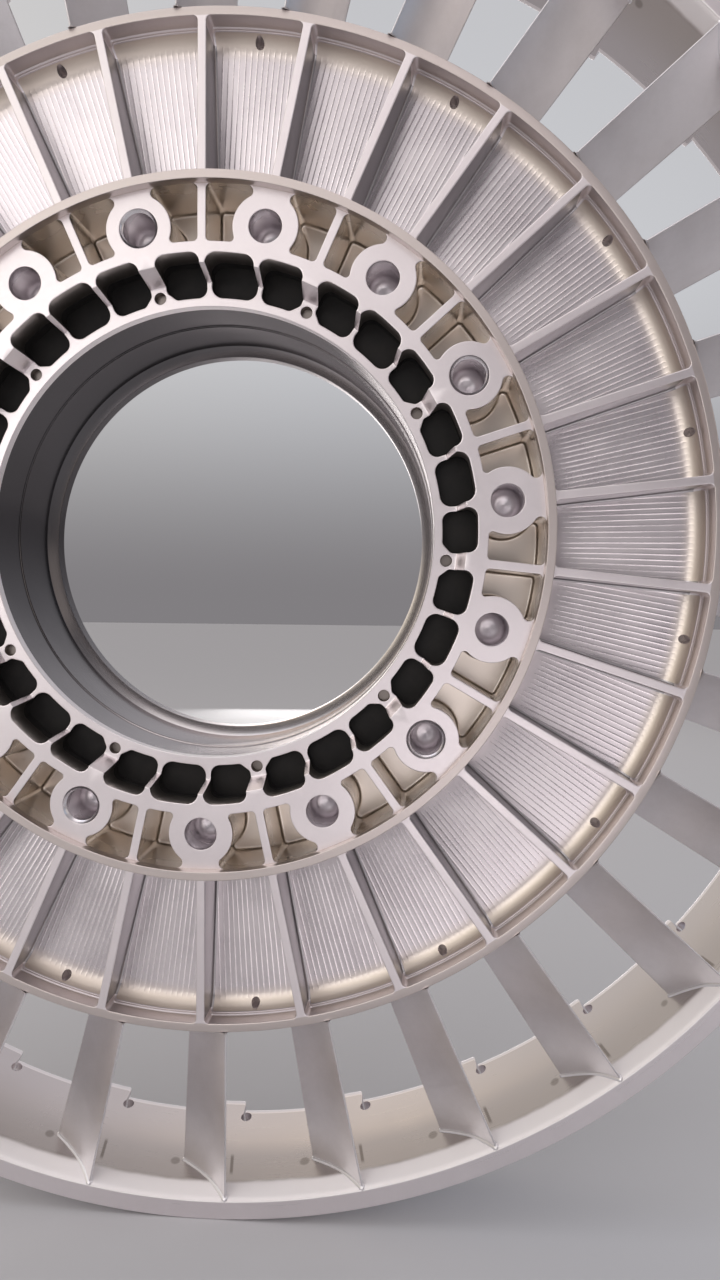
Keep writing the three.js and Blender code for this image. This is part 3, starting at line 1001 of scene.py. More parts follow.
@dataclass
class OuterRing:
    """The outer ring, with its flared mouth and its toothed rear edge."""

    paints: Paints
    outer_radius: float = 0.400
    mouth_radius: float = 0.389
    taper: float = 0.248
    wall: float = 0.007
    flange: float = 0.014
    flange_rounding: float = 0.0035
    rear_depth: float = 0.0661
    tab_height: float = 0.0076
    tab_start: float = -1.5
    tab_end: float = 2.0
    tab_corner: float = 0.24
    tab_rounding: float = 0.0016
    relief_angle: float = 2.36
    relief_depth: float = 0.0607
    relief_radius: float = 0.0034
    relief_slit: tuple[float, float] = (-0.0013, -0.0023)
    relief_reach: tuple[float, float] = (0.364, 0.392)
    lip: float = 0.0007
    band_depth: float = 0.0105
    band_slope: float = 0.46
    join_depth: float = 0.036
    wall_depths: tuple[float, ...] = (
        0.0012, 0.003, 0.006, 0.0085, 0.0097, 0.0113, 0.0125, 0.016, 0.022, 0.03, 0.036,
    )
    flare: float = 0.006
    edge: float = 0.0005

    def inner_radius(self, depth: float | np.ndarray) -> float | np.ndarray:
        """The radius of the inner wall at a depth: a steep band at the mouth, then the taper."""
        depths = [0.0, self.band_depth, self.join_depth, 0.1]
        band = self.mouth_radius - self.band_slope * self.band_depth
        walls = [self.mouth_radius, band] + [self.mouth_radius - self.taper * deep for deep in depths[2:]]
        return np.interp(depth, depths, walls)

    def rear_edge(self, local: float) -> float:
        """The depth of the rear edge at an angle from the nearest spoke.

        Args:
            local: The angle in degrees.

        Returns:
            The depth.
        """
        near = min(local - self.tab_start, self.tab_end - local)
        if near < 0:
            return self.rear_depth
        short = max(0.0, 1 - near / self.tab_corner)
        return self.rear_depth + self.tab_height - self.tab_rounding * (1 - sqrt(1 - short ** 2))

    def columns(self) -> tuple[np.ndarray, np.ndarray]:
        """The columns' angles in degrees, and the rear edge's depth at each."""
        knots = {self.tab_start - 0.02, self.tab_end + 0.02}
        for share in (0, 0.04, 0.12, 0.25, 0.5, 0.75, 1):
            knots |= {self.tab_start + self.tab_corner * share, self.tab_end - self.tab_corner * share}
        knots |= set(np.arange(-SPOKE_PITCH / 2, SPOKE_PITCH / 2, 0.4))
        local = np.array(sorted(knots))
        local = local[np.concatenate([[True], np.diff(local) > 0.012])]
        angles, depths = [], []
        for spoke in around(SPOKE_COUNT, SPOKE_FIRST):
            angles += list(spoke + local)
            depths += [self.rear_edge(a) for a in local]
        return np.array(angles), np.array(depths)

    def build(self) -> bpy.types.Object:
        """Builds the ring."""
        work = MeshWork()
        angles, rear = self.columns()
        unit = np.stack([np.cos(np.radians(angles)), np.sin(np.radians(angles))], axis=1)

        def row(radius: float | np.ndarray, depth: float | np.ndarray) -> np.ndarray:
            """A row of vertices round the ring."""
            return work.ring(unit * np.broadcast_to(radius, len(unit))[:, None], depth)

        def wall(depth: float | np.ndarray, off: float = 0.0) -> np.ndarray:
            """A row on the inner wall, or this far outside it."""
            return row(self.inner_radius(depth) + off, depth)

        lip, edge, start = self.lip, self.edge, self.join_depth
        mouth, rim = self.mouth_radius, self.outer_radius
        end, back = rear - edge - 0.0001, self.flange + self.flange_rounding
        bend = back + self.flare
        rings = [row(*pair) for pair in rounding((mouth + lip, 0.0), (mouth, lip), 4, True)]
        rings += [wall(depth) for depth in self.wall_depths]
        rings += [wall(start + (end - start) * share) for share in (0.2, 0.4, 0.6, 0.8, 0.93)]
        wall_rings = len(rings)
        rings += [wall(rear - edge * (1 - up), edge * less) for up, less in quarter(2)]
        rings += [wall(rear - edge * (1 - up), self.wall - edge * less) for up, less in quarter(2)[::-1]]
        rings += [wall(bend + (end - bend) * share, self.wall) for share in (0.75, 0.5, 0.25, 0.0)]
        corner = self.inner_radius(bend) + self.wall
        profile = rounding((corner, bend), (corner + self.flare, back), 5, False)[1:]
        profile.append((rim - lip - MARGIN, back))
        profile += rounding((rim - lip, back), (rim, back - lip), 3, True)
        profile += rounding((rim, lip), (rim - lip, 0.0), 3, False)
        profile += [(rim - lip - 0.0004, 0.0), (mouth + lip + 0.0004, 0.0)]
        rings += [row(*pair) for pair in profile]
        work.strips(rings[:wall_rings][::-1], 1)
        work.strips(rings[wall_rings - 1:][::-1])
        work.strip(rings[0], rings[-1])
        piece = work.build("outer_ring_skin", [self.paints.turned, self.paints.mouth])
        cut(piece, self.relief_tool())
        return own(piece, ["outer_ring"])

    def relief_tool(self) -> bpy.types.Object:
        """The round holes beside the tabs, each with a slit to the rear edge, as shapes to cut away."""
        work = MeshWork()
        size, beyond = self.relief_radius, 0.003
        end = self.rear_depth - self.relief_depth + beyond
        near, far = (atan2(sqrt(size ** 2 - side ** 2), side) for side in self.relief_slit)
        keyhole = [(side, end) for side in self.relief_slit]
        keyhole += [(size * cos(a), size * sin(a)) for a in np.linspace(far, near + tau, 30)]
        across, deep = np.array(keyhole).T
        for spoke in around(SPOKE_COUNT, SPOKE_FIRST):
            out = polar(1.0, spoke + self.relief_angle)
            side = np.array([-out[1], out[0]])
            inner, outer = (work.ring(out * radius + across[:, None] * side, self.relief_depth + deep)
                            for radius in self.relief_reach)
            work.strip(outer, inner)
            work.cap(inner)
            work.cap(outer[::-1])
        return work.build("relief_drills", [self.paints.turned])


@dataclass
class Disc:
    """The disc between the rims, with its ribs, pockets, edge holes and outer rim."""

    paints: Paints
    inner_radius: float = 0.198
    rim_inner: float = 0.2835
    rim_outer: float = 0.2884
    rim_depth: float = 0.0661
    rib: float = 0.0049
    floor_depths: tuple[float, float] = (0.031, 0.020)
    foot_radius: float = 0.2785
    curve_start: float = 0.2725
    curve_size: float = 0.0118
    curve_level: float = 0.0051
    plate: float = 0.006
    rib_fillet: float = 0.0012
    outer_corner: float = 0.0026
    inner_corner: float = 0.0034
    step_depth: float = 0.0112
    step_width: float = 0.0006
    lip: float = 0.0005
    rear_fillet: float = 0.004
    rim_band: float = 0.0016
    rim_blend: float = 0.0012
    inner_blend: float = 0.002
    rib_end: float = 0.003
    hole_radius: float = 0.0026
    hole_circle: float = 0.2792
    hole_bottom: float = 0.025
    hole_first: float = 84.0
    hole_count: int = 15
    floor_rows: tuple[tuple[float, float, float], ...] = (
        (0.206, 0.270, 0.005), (0.270, 0.2785, 0.0012), (0.279, 0.2828, 0.0005),
    )

    def pocket(self) -> Loop:
        """The outline of the pocket that lies round angle 0."""
        half = SPOKE_PITCH / 2
        sides = []
        for sign in (1, -1):
            way = polar(1.0, sign * half)
            off = np.array([way[1], -way[0]]) * sign * self.rib / 2
            heading = sign * half + (180 if sign > 0 else 0)
            sides.append(StraightSide(tuple(off), heading))
        left, right = sides
        outer = RoundSide((0.0, 0.0), self.rim_inner, True)
        inner = RoundSide((0.0, 0.0), self.inner_radius, False)

        low, high = self.inner_radius + 0.006, self.rim_inner - 0.004
        corners = []
        for distance, size in ((low, self.inner_corner), (high, self.outer_corner)):
            angle = half - degrees(0.006 / distance)
            corners = [Corner.at(distance, angle, size), *corners, Corner.at(distance, -angle, size)]
        return outline([outer, left, inner, right], corners, step=0.0030)

    def floor_depth(self, points: Loop) -> np.ndarray:
        """The depth of the pocket floor at each of some points: a cone, then a turned curve up to the rim."""
        radius = from_axis(points)
        inner, outer = self.floor_depths
        slope = (inner - outer) / (self.foot_radius - self.inner_radius)
        fall = slope * self.curve_size
        drop = outer + slope * (self.foot_radius - self.curve_start) - self.curve_level
        share = np.clip((radius - self.curve_start) / self.curve_size, 0, 1)
        curve = self.curve_level + sqrt(drop ** 2 - fall ** 2) * np.sqrt(1 - share ** 2)
        cone = inner - slope * (radius - self.inner_radius)
        return np.where(share < fall / drop, cone, curve)

    def floor_patch(self, rim: Loop) -> tuple[Loop, np.ndarray]:
        """Fills a pocket's floor.

        Args:
            rim: The floor's outline at angle 0.

        Returns:
            The points inside the outline, and triangles whose corners count the outline's points first.
        """
        rows = np.concatenate([np.arange(*run) for run in self.floor_rows])
        grid = np.array([polar(radius, angle) for radius in rows for angle in np.arange(-5.4, 5.5, 0.6)])
        grid = grid[inside(grid, inset(rim, 0.00025))]
        points = np.concatenate([rim, grid])
        edges = [(k, (k + 1) % len(rim)) for k in range(len(rim))]
        _, _, found, origins, _, _ = delaunay_2d_cdt([Vector(p) for p in points], edges, [], 0, 1e-8)
        triangles = np.array([[origins[k][0] for k in triangle] for triangle in found])
        first, second, third = (points[triangles[:, k]] for k in range(3))
        one, two = second - first, third - first
        whole = one[:, 0] * two[:, 1] - one[:, 1] * two[:, 0] > 1e-11
        return grid, triangles[whole & inside(points[triangles].mean(axis=1), rim)]

    def build(self) -> bpy.types.Object:
        """Builds the disc."""
        work = MeshWork()
        hidden = self.inner_radius - 0.001
        sheet = FaceSheet(hidden, self.rim_outer - self.lip, FINE_COLUMNS)
        shape = self.pocket()
        radius = from_axis(shape)
        on_rim = np.clip((radius - (self.rim_inner - self.rim_band)) / self.rim_blend, 0, 1)
        share = np.clip((radius - self.inner_radius) / self.inner_blend, 0, 1)
        fillets = self.rib_fillet * (1 - 0.8 * on_rim)
        ledge = self.step_width * on_rim
        deep = self.floor_depth(inset(shape, ledge + fillets))
        bed = inset(shape, ledge + fillets + MARGIN)
        grid, triangles = self.floor_patch(bed)
        on_rib = (radius > self.inner_radius + self.inner_blend) & (radius < self.rim_inner - self.rib_end)
        levels = [(0.0, self.step_depth - 0.0005), (ledge * 0.5, self.step_depth - 0.0001),
                  (ledge, self.step_depth + 0.0003)]
        levels += fillet_levels(deep, fillets, 6, ledge)
        levels.append((ledge + fillets + MARGIN, self.floor_depth(bed)))
        # Painted shade: rib walls take the darker finish of the sides of the ribs; other walls take the face
        # finish.
        finish = np.where(on_rib, 3, 0)
        for angle in around(SPOKE_COUNT, SPOKE_FIRST + SPOKE_PITCH / 2):
            foot = sheet.sink(work, turn(shape, angle), share, levels, self.lip, finish)
            fresh = work.ring(turn(grid, angle), self.floor_depth(grid))
            work.patch(np.concatenate([foot, fresh]), triangles, 1)
        rows = work.turned_rows(self._rear_profile(hidden), FINE_COLUMNS)
        inner_row = work.ring(circle(hidden, FINE_COLUMNS), 0.0)
        work.strips([inner_row] + rows[::-1])
        sheet.lay(work, inner_row, rows[0], 0.0004)
        paints = self.paints
        piece = work.build("ribbed_disc", [paints.face, paints.floor, paints.slot, paints.side])
        cut(piece, self.edge_drills(piece.data.materials))
        return own(piece, ["disc_floor", "outer_rim"])

    def _rear_profile(self, hidden: float) -> list[tuple[float, float]]:
        """The outer rim and the plate's back, from the front of the rim to the hidden inner radius."""
        back_inner, back_outer = (depth + self.plate for depth in self.floor_depths)
        lip, fillet, rear = self.lip, self.rear_fillet, self.rim_depth
        near, rim, far = self.inner_radius, self.rim_inner, self.rim_outer
        profile = rounding((far - lip, 0.0), (far, lip), 3, True)
        profile += [(far, rear * share) for share in (0.3, 0.6, 0.9)]
        profile += rounding((far, rear - lip), (far - lip, rear), 3, False)
        profile += rounding((rim + lip, rear), (rim, rear - lip), 3, True)
        profile += rounding((rim, back_outer + fillet), (rim - fillet, back_outer), 5, False)
        profile += rounding((near + fillet, back_inner), (near, back_inner + fillet), 5, True)
        return [*profile, (hidden, back_inner + fillet)]

    def edge_drills(self, materials: Sequence[bpy.types.Material]) -> bpy.types.Object:
        """The blind holes at the pockets' outer edge, as shapes to cut away."""
        work = MeshWork()
        for angle in around(self.hole_count, self.hole_first):
            loop = circle(self.hole_radius, 32, polar(self.hole_circle, angle))
            top, bottom = work.ring(loop, self.step_depth + 0.0015), work.ring(loop, self.hole_bottom)
            work.strip(bottom, top)
            work.cap(top)
            # The hole's bottom takes the slot walls' finish, which is dim at this depth: painted shade.
            work.cap(bottom[::-1], 2)
        return work.build("edge_drills", list(materials))


@dataclass
class Hub:
    """The hub: its rim, bosses, webs and pockets, the slotted land, and the drum behind."""

    paints: Paints
    rim_inner: float = 0.193
    rim_outer: float = 0.198
    rim_proud: float = 0.006
    rear_depth: float = 0.0525
    boss_circle: float = 0.1725
    boss_radius: float = 0.0186
    boss_first: float = 102.0
    boss_count: int = 15
    hole_radius: float = 0.0093
    wide_hole_radius: float = 0.0109
    wide_chamfer: float = 0.0016
    hole_depth: float = 0.029
    hole_fillet: float = 0.0070
    tail_corner: float = 0.0032
    pad_corner: float = 0.0022
    land_corner: float = 0.0024
    rim_corner: float = 0.0028
    rim_blend: float = 0.0015
    web_first: float = 90.0
    web: float = 0.0049
    pocket_depth: float = 0.040
    pocket_fillet: float = 0.0018
    land_outer: float = 0.1615
    land_inner: float = 0.1496
    recess_radius: float = 0.1451
    recess_depth: float = 0.0192
    plate: float = 0.006
    bore_radius: float = 0.1315
    slot_inner: float = 0.1364
    slot_outer: float = 0.1556
    slot_corner: float = 0.0064
    slot_chamfer: float = 0.005
    slot_groups: int = 10
    slot_first: float = 120.0
    middle_slot: float = 5.35
    side_slot_start: float = 6.55
    side_slot_end: float = 16.1
    small_hole: float = 0.0034
    small_hole_circle: float = 0.1393
    small_hole_depth: float = 0.0045
    slot_shade: float = 0.0175
    drum_inner: float = 0.158
    drum_depth: float = 0.0985
    drum_corner: float = 0.003
    side_rows: tuple[float, ...] = (0.012, 0.036, 0.046)
    lip: float = 0.0004
    hole_lip: float = 0.0003

    def height(self, radius: np.ndarray) -> np.ndarray:
        """The depth of the front surface at a radius: land, steep cone and recess."""
        return np.interp(radius, self._bend_radii(), self._bend_depths())

    def _bend_radii(self) -> list[float]:
        """The radii where the front surface bends."""
        recess, land = self.recess_radius, self.land_inner
        cone = [recess - 0.0004, recess, recess + 0.00012, land - 0.0001, land, land + 0.0003]
        return [self.bore_radius, *cone, self.rim_inner]

    def _bend_depths(self) -> list[float]:
        """The depths at those radii."""
        deep = self.recess_depth
        return [deep, deep, deep - 0.00018, deep - 0.0005, 0.0004, 0.00012, 0.0, 0.0]

    def pockets(self) -> tuple[Loop, Loop]:
        """The outlines of the two pockets beside the web at angle 0: anticlockwise of it, then clockwise."""
        boss_angle = 360 / self.boss_count / 2
        boss = polar(self.boss_circle, boss_angle)
        way = polar(1.0, boss_angle)
        across = np.array([-way[1], way[0]])
        rim = RoundSide((0.0, 0.0), self.rim_inner, True)
        pad = RoundSide(tuple(boss), self.boss_radius, False)
        land = RoundSide((0.0, 0.0), self.land_outer, False)
        web = StraightSide((0.0, self.web / 2), 0.0)
        tail = boss - across * (self.boss_radius * 0.72) + way * (self.boss_radius * 0.9)
        upper = outline(
            [rim, pad, land, web],
            [Corner(tuple(tail), self.tail_corner),
             Corner.at(self.land_outer + 0.003, boss_angle - 6.8, self.pad_corner),
             Corner.at(self.land_outer + 0.004, 2.6, self.land_corner),
             Corner.at(self.rim_inner - 0.004, 2.2, self.rim_corner)],
            step=0.0020,
        )
        return upper, mirrored(upper)

    def slots(self) -> list[Loop]:
        """The outlines of the three slots round angle 0."""
        outer = RoundSide((0.0, 0.0), self.slot_outer, True)
        inner = RoundSide((0.0, 0.0), self.slot_inner, False)

        def ray(angle: float, outward: bool) -> StraightSide:
            """A side along a radius."""
            return StraightSide((0.0, 0.0), angle if outward else angle + 180)

        high, low, middle = self.slot_outer - 0.006, self.slot_inner + 0.006, self.middle_slot - 2.2
        corner = self.slot_corner
        centre = outline(
            [outer, ray(self.middle_slot, False), inner, ray(-self.middle_slot, True)],
            [Corner.at(high, middle, corner), Corner.at(low, middle, corner),
             Corner.at(low, -middle, corner), Corner.at(high, -middle, corner)],
            step=0.0016,
        )
        start, end = self.side_slot_start, self.side_slot_end
        top = polar(self.slot_inner + self.slot_chamfer, end)
        foot = polar(self.slot_inner, end - degrees(self.slot_chamfer / self.slot_inner))
        heading = degrees(atan2(*(foot - top)[::-1]))
        side = outline(
            [outer, ray(end, False), StraightSide(tuple(top), heading), inner, ray(start, True)],
            [Corner.at(high, end - 2, corner - 0.001), Corner(tuple(top * 0.985), corner / 2),
             Corner(tuple(foot * 1.02), corner / 2), Corner.at(low, start + 2, corner - 0.001),
             Corner.at(high, start + 2, corner - 0.001)],
            step=0.0016,
        )
        return [centre, side, mirrored(side)]

    def build(self) -> bpy.types.Object:
        """Builds the hub."""
        work = MeshWork()
        creases = tuple(self._bend_radii()[1:-1])
        sheet = FaceSheet(self.bore_radius + MARGIN, self.rim_inner, FINE_COLUMNS, self.height, creases)
        self._sink_pockets(work, sheet)
        self._drill_bosses(work, sheet)
        self._cut_slots(work, sheet)
        deep = self.recess_depth
        back = deep + self.plate
        rows = work.turned_rows(self._rim_profile(), FINE_COLUMNS)
        foot = work.ring(circle(self.rim_inner, FINE_COLUMNS), 0.0)
        work.strips([foot] + rows)
        drum, bore = self.drum_inner, self.bore_radius
        tail = [(drum, self.drum_depth - self.lip), (drum, back), (bore, back), (bore, deep + MARGIN)]
        inner_rows = work.turned_rows([*tail, (bore + MARGIN, deep)], FINE_COLUMNS)
        work.strip(rows[-1], inner_rows[0])
        # The drum's inner wall and the plate's back take the near-black painted shadow.
        work.strips(inner_rows[:3], 2)
        work.strips(inner_rows[2:])
        sheet.lay(work, inner_rows[-1], None, MARGIN)
        paints = self.paints
        finishes = [paints.face, paints.wall, paints.inside, paints.slot, paints.hole]
        piece = work.build("bossed_hub", finishes)
        return own(piece, ["middle_rim", "boss_ring", "slotted_ring", "hub_drum"])

    def _rim_profile(self) -> list[tuple[float, float]]:
        """The proud rim, the hub's rear and the drum's outside, from front to back."""
        lip, land, drum, rear = self.lip, self.land_outer, self.drum_depth, self.rear_depth
        proud, inner, outer = -self.rim_proud, self.rim_inner, self.rim_outer - 0.00005
        corner = self.drum_corner
        profile = rounding((inner, proud + lip), (inner + lip, proud), 3, False)
        profile += [(inner + lip + MARGIN, proud), (outer - lip - MARGIN, proud)]
        profile += rounding((outer - lip, proud), (outer, proud + lip), 3, True)
        profile += [(outer, depth) for depth in self.side_rows]
        profile += rounding((outer, rear - lip), (outer - lip, rear), 3, False)
        profile += rounding((land + corner, rear), (land, rear + corner), 4, True)
        profile += rounding((land, drum - lip), (land - lip, drum), 2, False)
        profile += [(self.drum_inner + lip, drum)]
        return profile

    def _sink_pockets(self, work: MeshWork, sheet: FaceSheet) -> None:
        """Adds the pockets beside every web."""
        levels = [(0.0, 0.004), (0.0, 0.012), (0.0, 0.022)]
        levels += fillet_levels(self.pocket_depth, self.pocket_fillet, 5, 0.0)
        levels.append((self.pocket_fillet + MARGIN, self.pocket_depth))
        for angle in around(self.boss_count, self.web_first):
            for shape in self.pockets():
                rim = turn(shape, angle)
                share = np.clip((self.rim_inner - from_axis(rim)) / self.rim_blend, 0, 1)
                # Pocket walls and floors take the depth-shaded wall finish: painted shade.
                work.cap(sheet.sink(work, rim, share, levels, self.lip, 1), 1)

    def _drill_bosses(self, work: MeshWork, sheet: FaceSheet) -> None:
        """Adds the bolt holes, every third one wider and with a chamfer."""
        for index, angle in enumerate(around(self.boss_count, self.boss_first)):
            centre = polar(self.boss_circle, angle)
            wide = index % 3 == 0
            radius = self.wide_hole_radius if wide else self.hole_radius
            chamfer = self.wide_chamfer if wide else 0.0
            levels = [(chamfer, 0.0018)] if wide else []
            levels += [(chamfer, 0.006), (chamfer, 0.014)]
            levels += fillet_levels(self.hole_depth, self.hole_fillet, 8, chamfer)
            levels += [(radius - 0.001, self.hole_depth + 0.0004)]
            # Bolt hole walls and floors take the depth-shaded finish: painted shade.
            work.cap(sheet.sink(work, circle(radius, 48, centre), 1.0, levels, self.hole_lip, 4), 4)

    def _cut_slots(self, work: MeshWork, sheet: FaceSheet) -> None:
        """Adds the slots, which go right through, and the blind holes in the recess."""
        back = self.recess_depth + self.plate
        for angle in around(self.slot_groups, self.slot_first):
            for shape in self.slots():
                self._through(work, sheet, turn(shape, angle), back)
            centre = polar(self.small_hole_circle, angle + 180 / self.slot_groups)
            floor = self.recess_depth + self.small_hole_depth
            levels = [(0.0, floor - 0.0004), (MARGIN, floor)]
            rim = circle(self.small_hole, 28, centre)
            # The small holes take the slot walls' finish, dim at this depth: painted shade.
            work.cap(sheet.sink(work, rim, 1.0, levels, self.hole_lip, 3, self.recess_depth), 3)

    def _through(self, work: MeshWork, sheet: FaceSheet, rim: Loop, back: float) -> None:
        """Adds one slot, from the surface to the back of the plate."""
        lip = self.lip
        front = split_at(inset(rim, -lip), sheet.creases)
        own_rim = inset(front, lip)
        top = self.height(from_axis(front))
        rows = [work.ring(front, top)]
        rows += [work.ring(inset(own_rim, -lip * (1 - across)), top + lip * down)
                 for across, down in quarter(2)[1:]]
        work.strips(rows)
        # Painted shade: the slot walls take the depth-shaded finish down to slot_shade, then near-black
        # painted shadow to the back of the plate.
        shade, foot = (work.ring(own_rim, depth) for depth in (np.maximum(top + lip, self.slot_shade), back))
        work.strip(rows[-1], shade, 3)
        work.strip(shade, foot, 2)
        sheet.openings.append((front, rows[0]))


@dataclass
class Bore:
    """The turned bore with its step, its rear lip and the cover behind the slots."""

    paints: Paints
    radius: float = 0.1315
    start: float = 0.0252
    outer_radius: float = 0.1361
    step_depth: float = 0.0565
    step_radius: float = 0.1307
    lip_depth: float = 0.097
    lip_chamfer: float = 0.0047
    lip_radius: float = 0.1244
    rear_depth: float = 0.111
    cover_outer: float = 0.158
    cover_front: float = 0.0925
    cover_rear: float = 0.0985
    edge: float = 0.0004
    step_edge: float = 0.0003

    def build(self) -> list[bpy.types.Object]:
        """Builds the sleeve and the cover."""
        edge, step, bend = self.edge, self.step_depth, self.step_edge
        bore, narrow, lip, outer = self.radius, self.step_radius, self.lip_radius, self.outer_radius
        lip_front, lip_back, rear = self.lip_depth, self.lip_depth + self.lip_chamfer, self.rear_depth
        sleeve = MeshWork()
        profile = [(bore, self.start), (bore, step - bend), (bore - bend, step), (narrow + 0.0002, step),
                   (narrow, step + bend), (narrow, lip_front - 0.001), (narrow - 0.0002, lip_front),
                   (lip + edge, lip_back - edge / 2), (lip, lip_back + edge), (lip, rear - edge),
                   (lip + edge, rear), (outer - edge, rear), (outer, rear - edge), (outer, self.start)]
        sleeve.turned(profile[::-1], 512)
        cover = MeshWork()
        near, far = outer + 0.0001, self.cover_outer - 0.0001
        front, rear = self.cover_front, self.cover_rear
        cover.turned([(near, front), (near, rear - edge), (near + edge, rear), (far - edge, rear),
                      (far, rear - edge), (far, front)], 256)
        return [
            own(sleeve.build("bore_skin", [self.paints.bore], 24.0), ["bore_sleeve"]),
            # The cover behind the slots is near-black painted shadow.
            own(cover.build("rear_cover_skin", [self.paints.inside]), ["rear_cover"]),
        ]


class Zone(Enum):
    """The parts of a vane, from the rim outwards."""

    ROOT = "fillet at the rim"
    SPAN = "the vane itself"
    TIP = "bead at the outer ring"


@dataclass
class Vanes:
    """Thirty twisted, slightly hollow vanes between the rim and the outer ring."""

    paints: Paints
    ring: OuterRing
    root_radius: float = 0.2884
    front_offset: float = 0.0142
    front_depth: float = 0.001
    chord: float = 0.0388
    camber: float = 0.0019
    thickness: float = 0.0026
    edge: float = 0.0012
    tip_angle: float = 38.0
    root_angle: float = 45.2
    root_fillet: float = 0.0030
    tip_bead: float = 0.0013
    face_steps: int = 14
    span_steps: int = 10
    blank_overlap: float = 0.005
    sunk: float = 0.00015

    def section(self) -> tuple[np.ndarray, np.ndarray]:
        """The section's points round it, across and deep, and each point's outward direction."""
        slope = radians(self.tip_angle)
        along = np.array([-cos(slope), sin(slope)])
        away = np.array([sin(slope), cos(slope)])
        start = np.array([self.front_offset, self.front_depth])
        shares = 0.5 - 0.5 * np.cos(np.linspace(0, pi, self.face_steps + 1))
        bow = 4 * shares * (1 - shares)
        middle = start + along * (shares * self.chord)[:, None] + away * (self.camber * bow)[:, None]
        depth = self.edge + (self.thickness - self.edge) * np.sqrt(bow)
        back = middle + away * depth[:, None]
        turns = np.linspace(0, pi, 7)[1:-1, None]
        rise, bulge = away * (1 - np.cos(turns)) * self.edge / 2, along * np.sin(turns) * self.edge / 2
        tail, nose = middle[-1] + rise + bulge, start + rise - bulge
        points = np.concatenate([middle, tail, back[::-1], nose])
        ahead = np.roll(points, -1, axis=0) - np.roll(points, 1, axis=0)
        ahead /= np.linalg.norm(ahead, axis=1)[:, None]
        return points, np.stack([-ahead[:, 1], ahead[:, 0]], axis=1)

    def _swell(self, zone: Zone, share: float) -> float:
        """How far the section swells at a share of a zone."""
        if zone is Zone.ROOT:
            return self.root_fillet * (1 - sqrt(max(0.0, 1 - (1 - share) ** 2)))
        return self.tip_bead * sqrt(1 - share ** 2) if zone is Zone.TIP else 0.0

    def _reach(self, zone: Zone, share: float, root: np.ndarray, tip: np.ndarray) -> np.ndarray:
        """How far out the section's points lie at a share of a zone.

        Args:
            zone: The part of the vane.
            share: The share of it, counted from the rim or the ring at the root and the tip.
            root: How far out the rim is at each point.
            tip: How far out the ring's wall is at each point.

        Returns:
            The distances.
        """
        if zone is Zone.ROOT:
            return root + self.root_fillet * share - self.sunk
        if zone is Zone.TIP:
            return tip - self.tip_bead * share + self.sunk
        first, last = root + self.root_fillet, tip - self.tip_bead
        return first + (last - first) * share

    def mesh(self) -> bpy.types.Mesh:
        """One vane's mesh, lying along +X."""
        work = MeshWork()
        points, outward = self.section()
        blank_start = self.root_radius + MARGIN - self.blank_overlap
        blank_end = self.ring.mouth_radius + self.blank_overlap
        edge = np.array([self.front_offset, self.front_depth])

        def placed(section: np.ndarray, reach: np.ndarray) -> np.ndarray:
            """The section twisted for where it lies along the vane."""
            share = 1 - (reach - blank_start) / (blank_end - blank_start)
            twist = np.radians(self.root_angle - self.tip_angle) * share
            arm = section - edge
            turned = np.stack([arm[:, 0] * np.cos(twist) + arm[:, 1] * np.sin(twist),
                               -arm[:, 0] * np.sin(twist) + arm[:, 1] * np.cos(twist)], axis=1)
            return turned + edge

        stations = [(Zone.ROOT, s) for s in (0.0, 0.04, 0.12, 0.25, 0.45, 0.7, 1.0)]
        stations += [(Zone.SPAN, s) for s in np.linspace(0, 1, self.span_steps + 1)[1:-1]]
        stations += [(Zone.TIP, s) for s in (1.0, 0.98, 0.92, 0.8, 0.6, 0.35, 0.0)]
        rows = []
        for zone, share in stations:
            section = points + outward * self._swell(zone, share)
            reach = np.full(len(points), (self.root_radius + self.ring.mouth_radius) / 2)
            for _ in range(4):
                where = placed(section, reach)
                root = np.sqrt(self.root_radius ** 2 - where[:, 0] ** 2)
                tip = np.sqrt(self.ring.inner_radius(where[:, 1]) ** 2 - where[:, 0] ** 2)
                reach = self._reach(zone, share, root, tip)
            where = placed(section, reach)
            rows.append(work.add(np.stack([reach, FRONT_PLANE + where[:, 1], where[:, 0]], axis=1)))
        work.strips(rows)
        piece = work.build("vane_blank", [self.paints.vane], 40.0)
        mesh = piece.data
        bpy.data.objects.remove(piece)
        return mesh

    def build(self) -> list[bpy.types.Object]:
        """Builds the vanes."""
        mesh = self.mesh()
        made = []
        for number, angle in enumerate(around(SPOKE_COUNT, SPOKE_FIRST), 1):
            piece = bpy.data.objects.new(f"vane_{number:02d}", mesh)
            bpy.context.scene.collection.objects.link(piece)
            piece.matrix_world = Matrix.Rotation(-radians(angle), 4, "Y")
            made.append(own(piece, [f"spoke_{number:02d}"]))
        return made


# The room.


@dataclass(frozen=True)
class Panel:
    """A soft square light: its bearing from the wheel's front, in degrees, and what it gives."""

    name: str
    azimuth: float
    elevation: float
    power: float
    color: Colour
    size: float = 0.9
    distance: float = 2.0


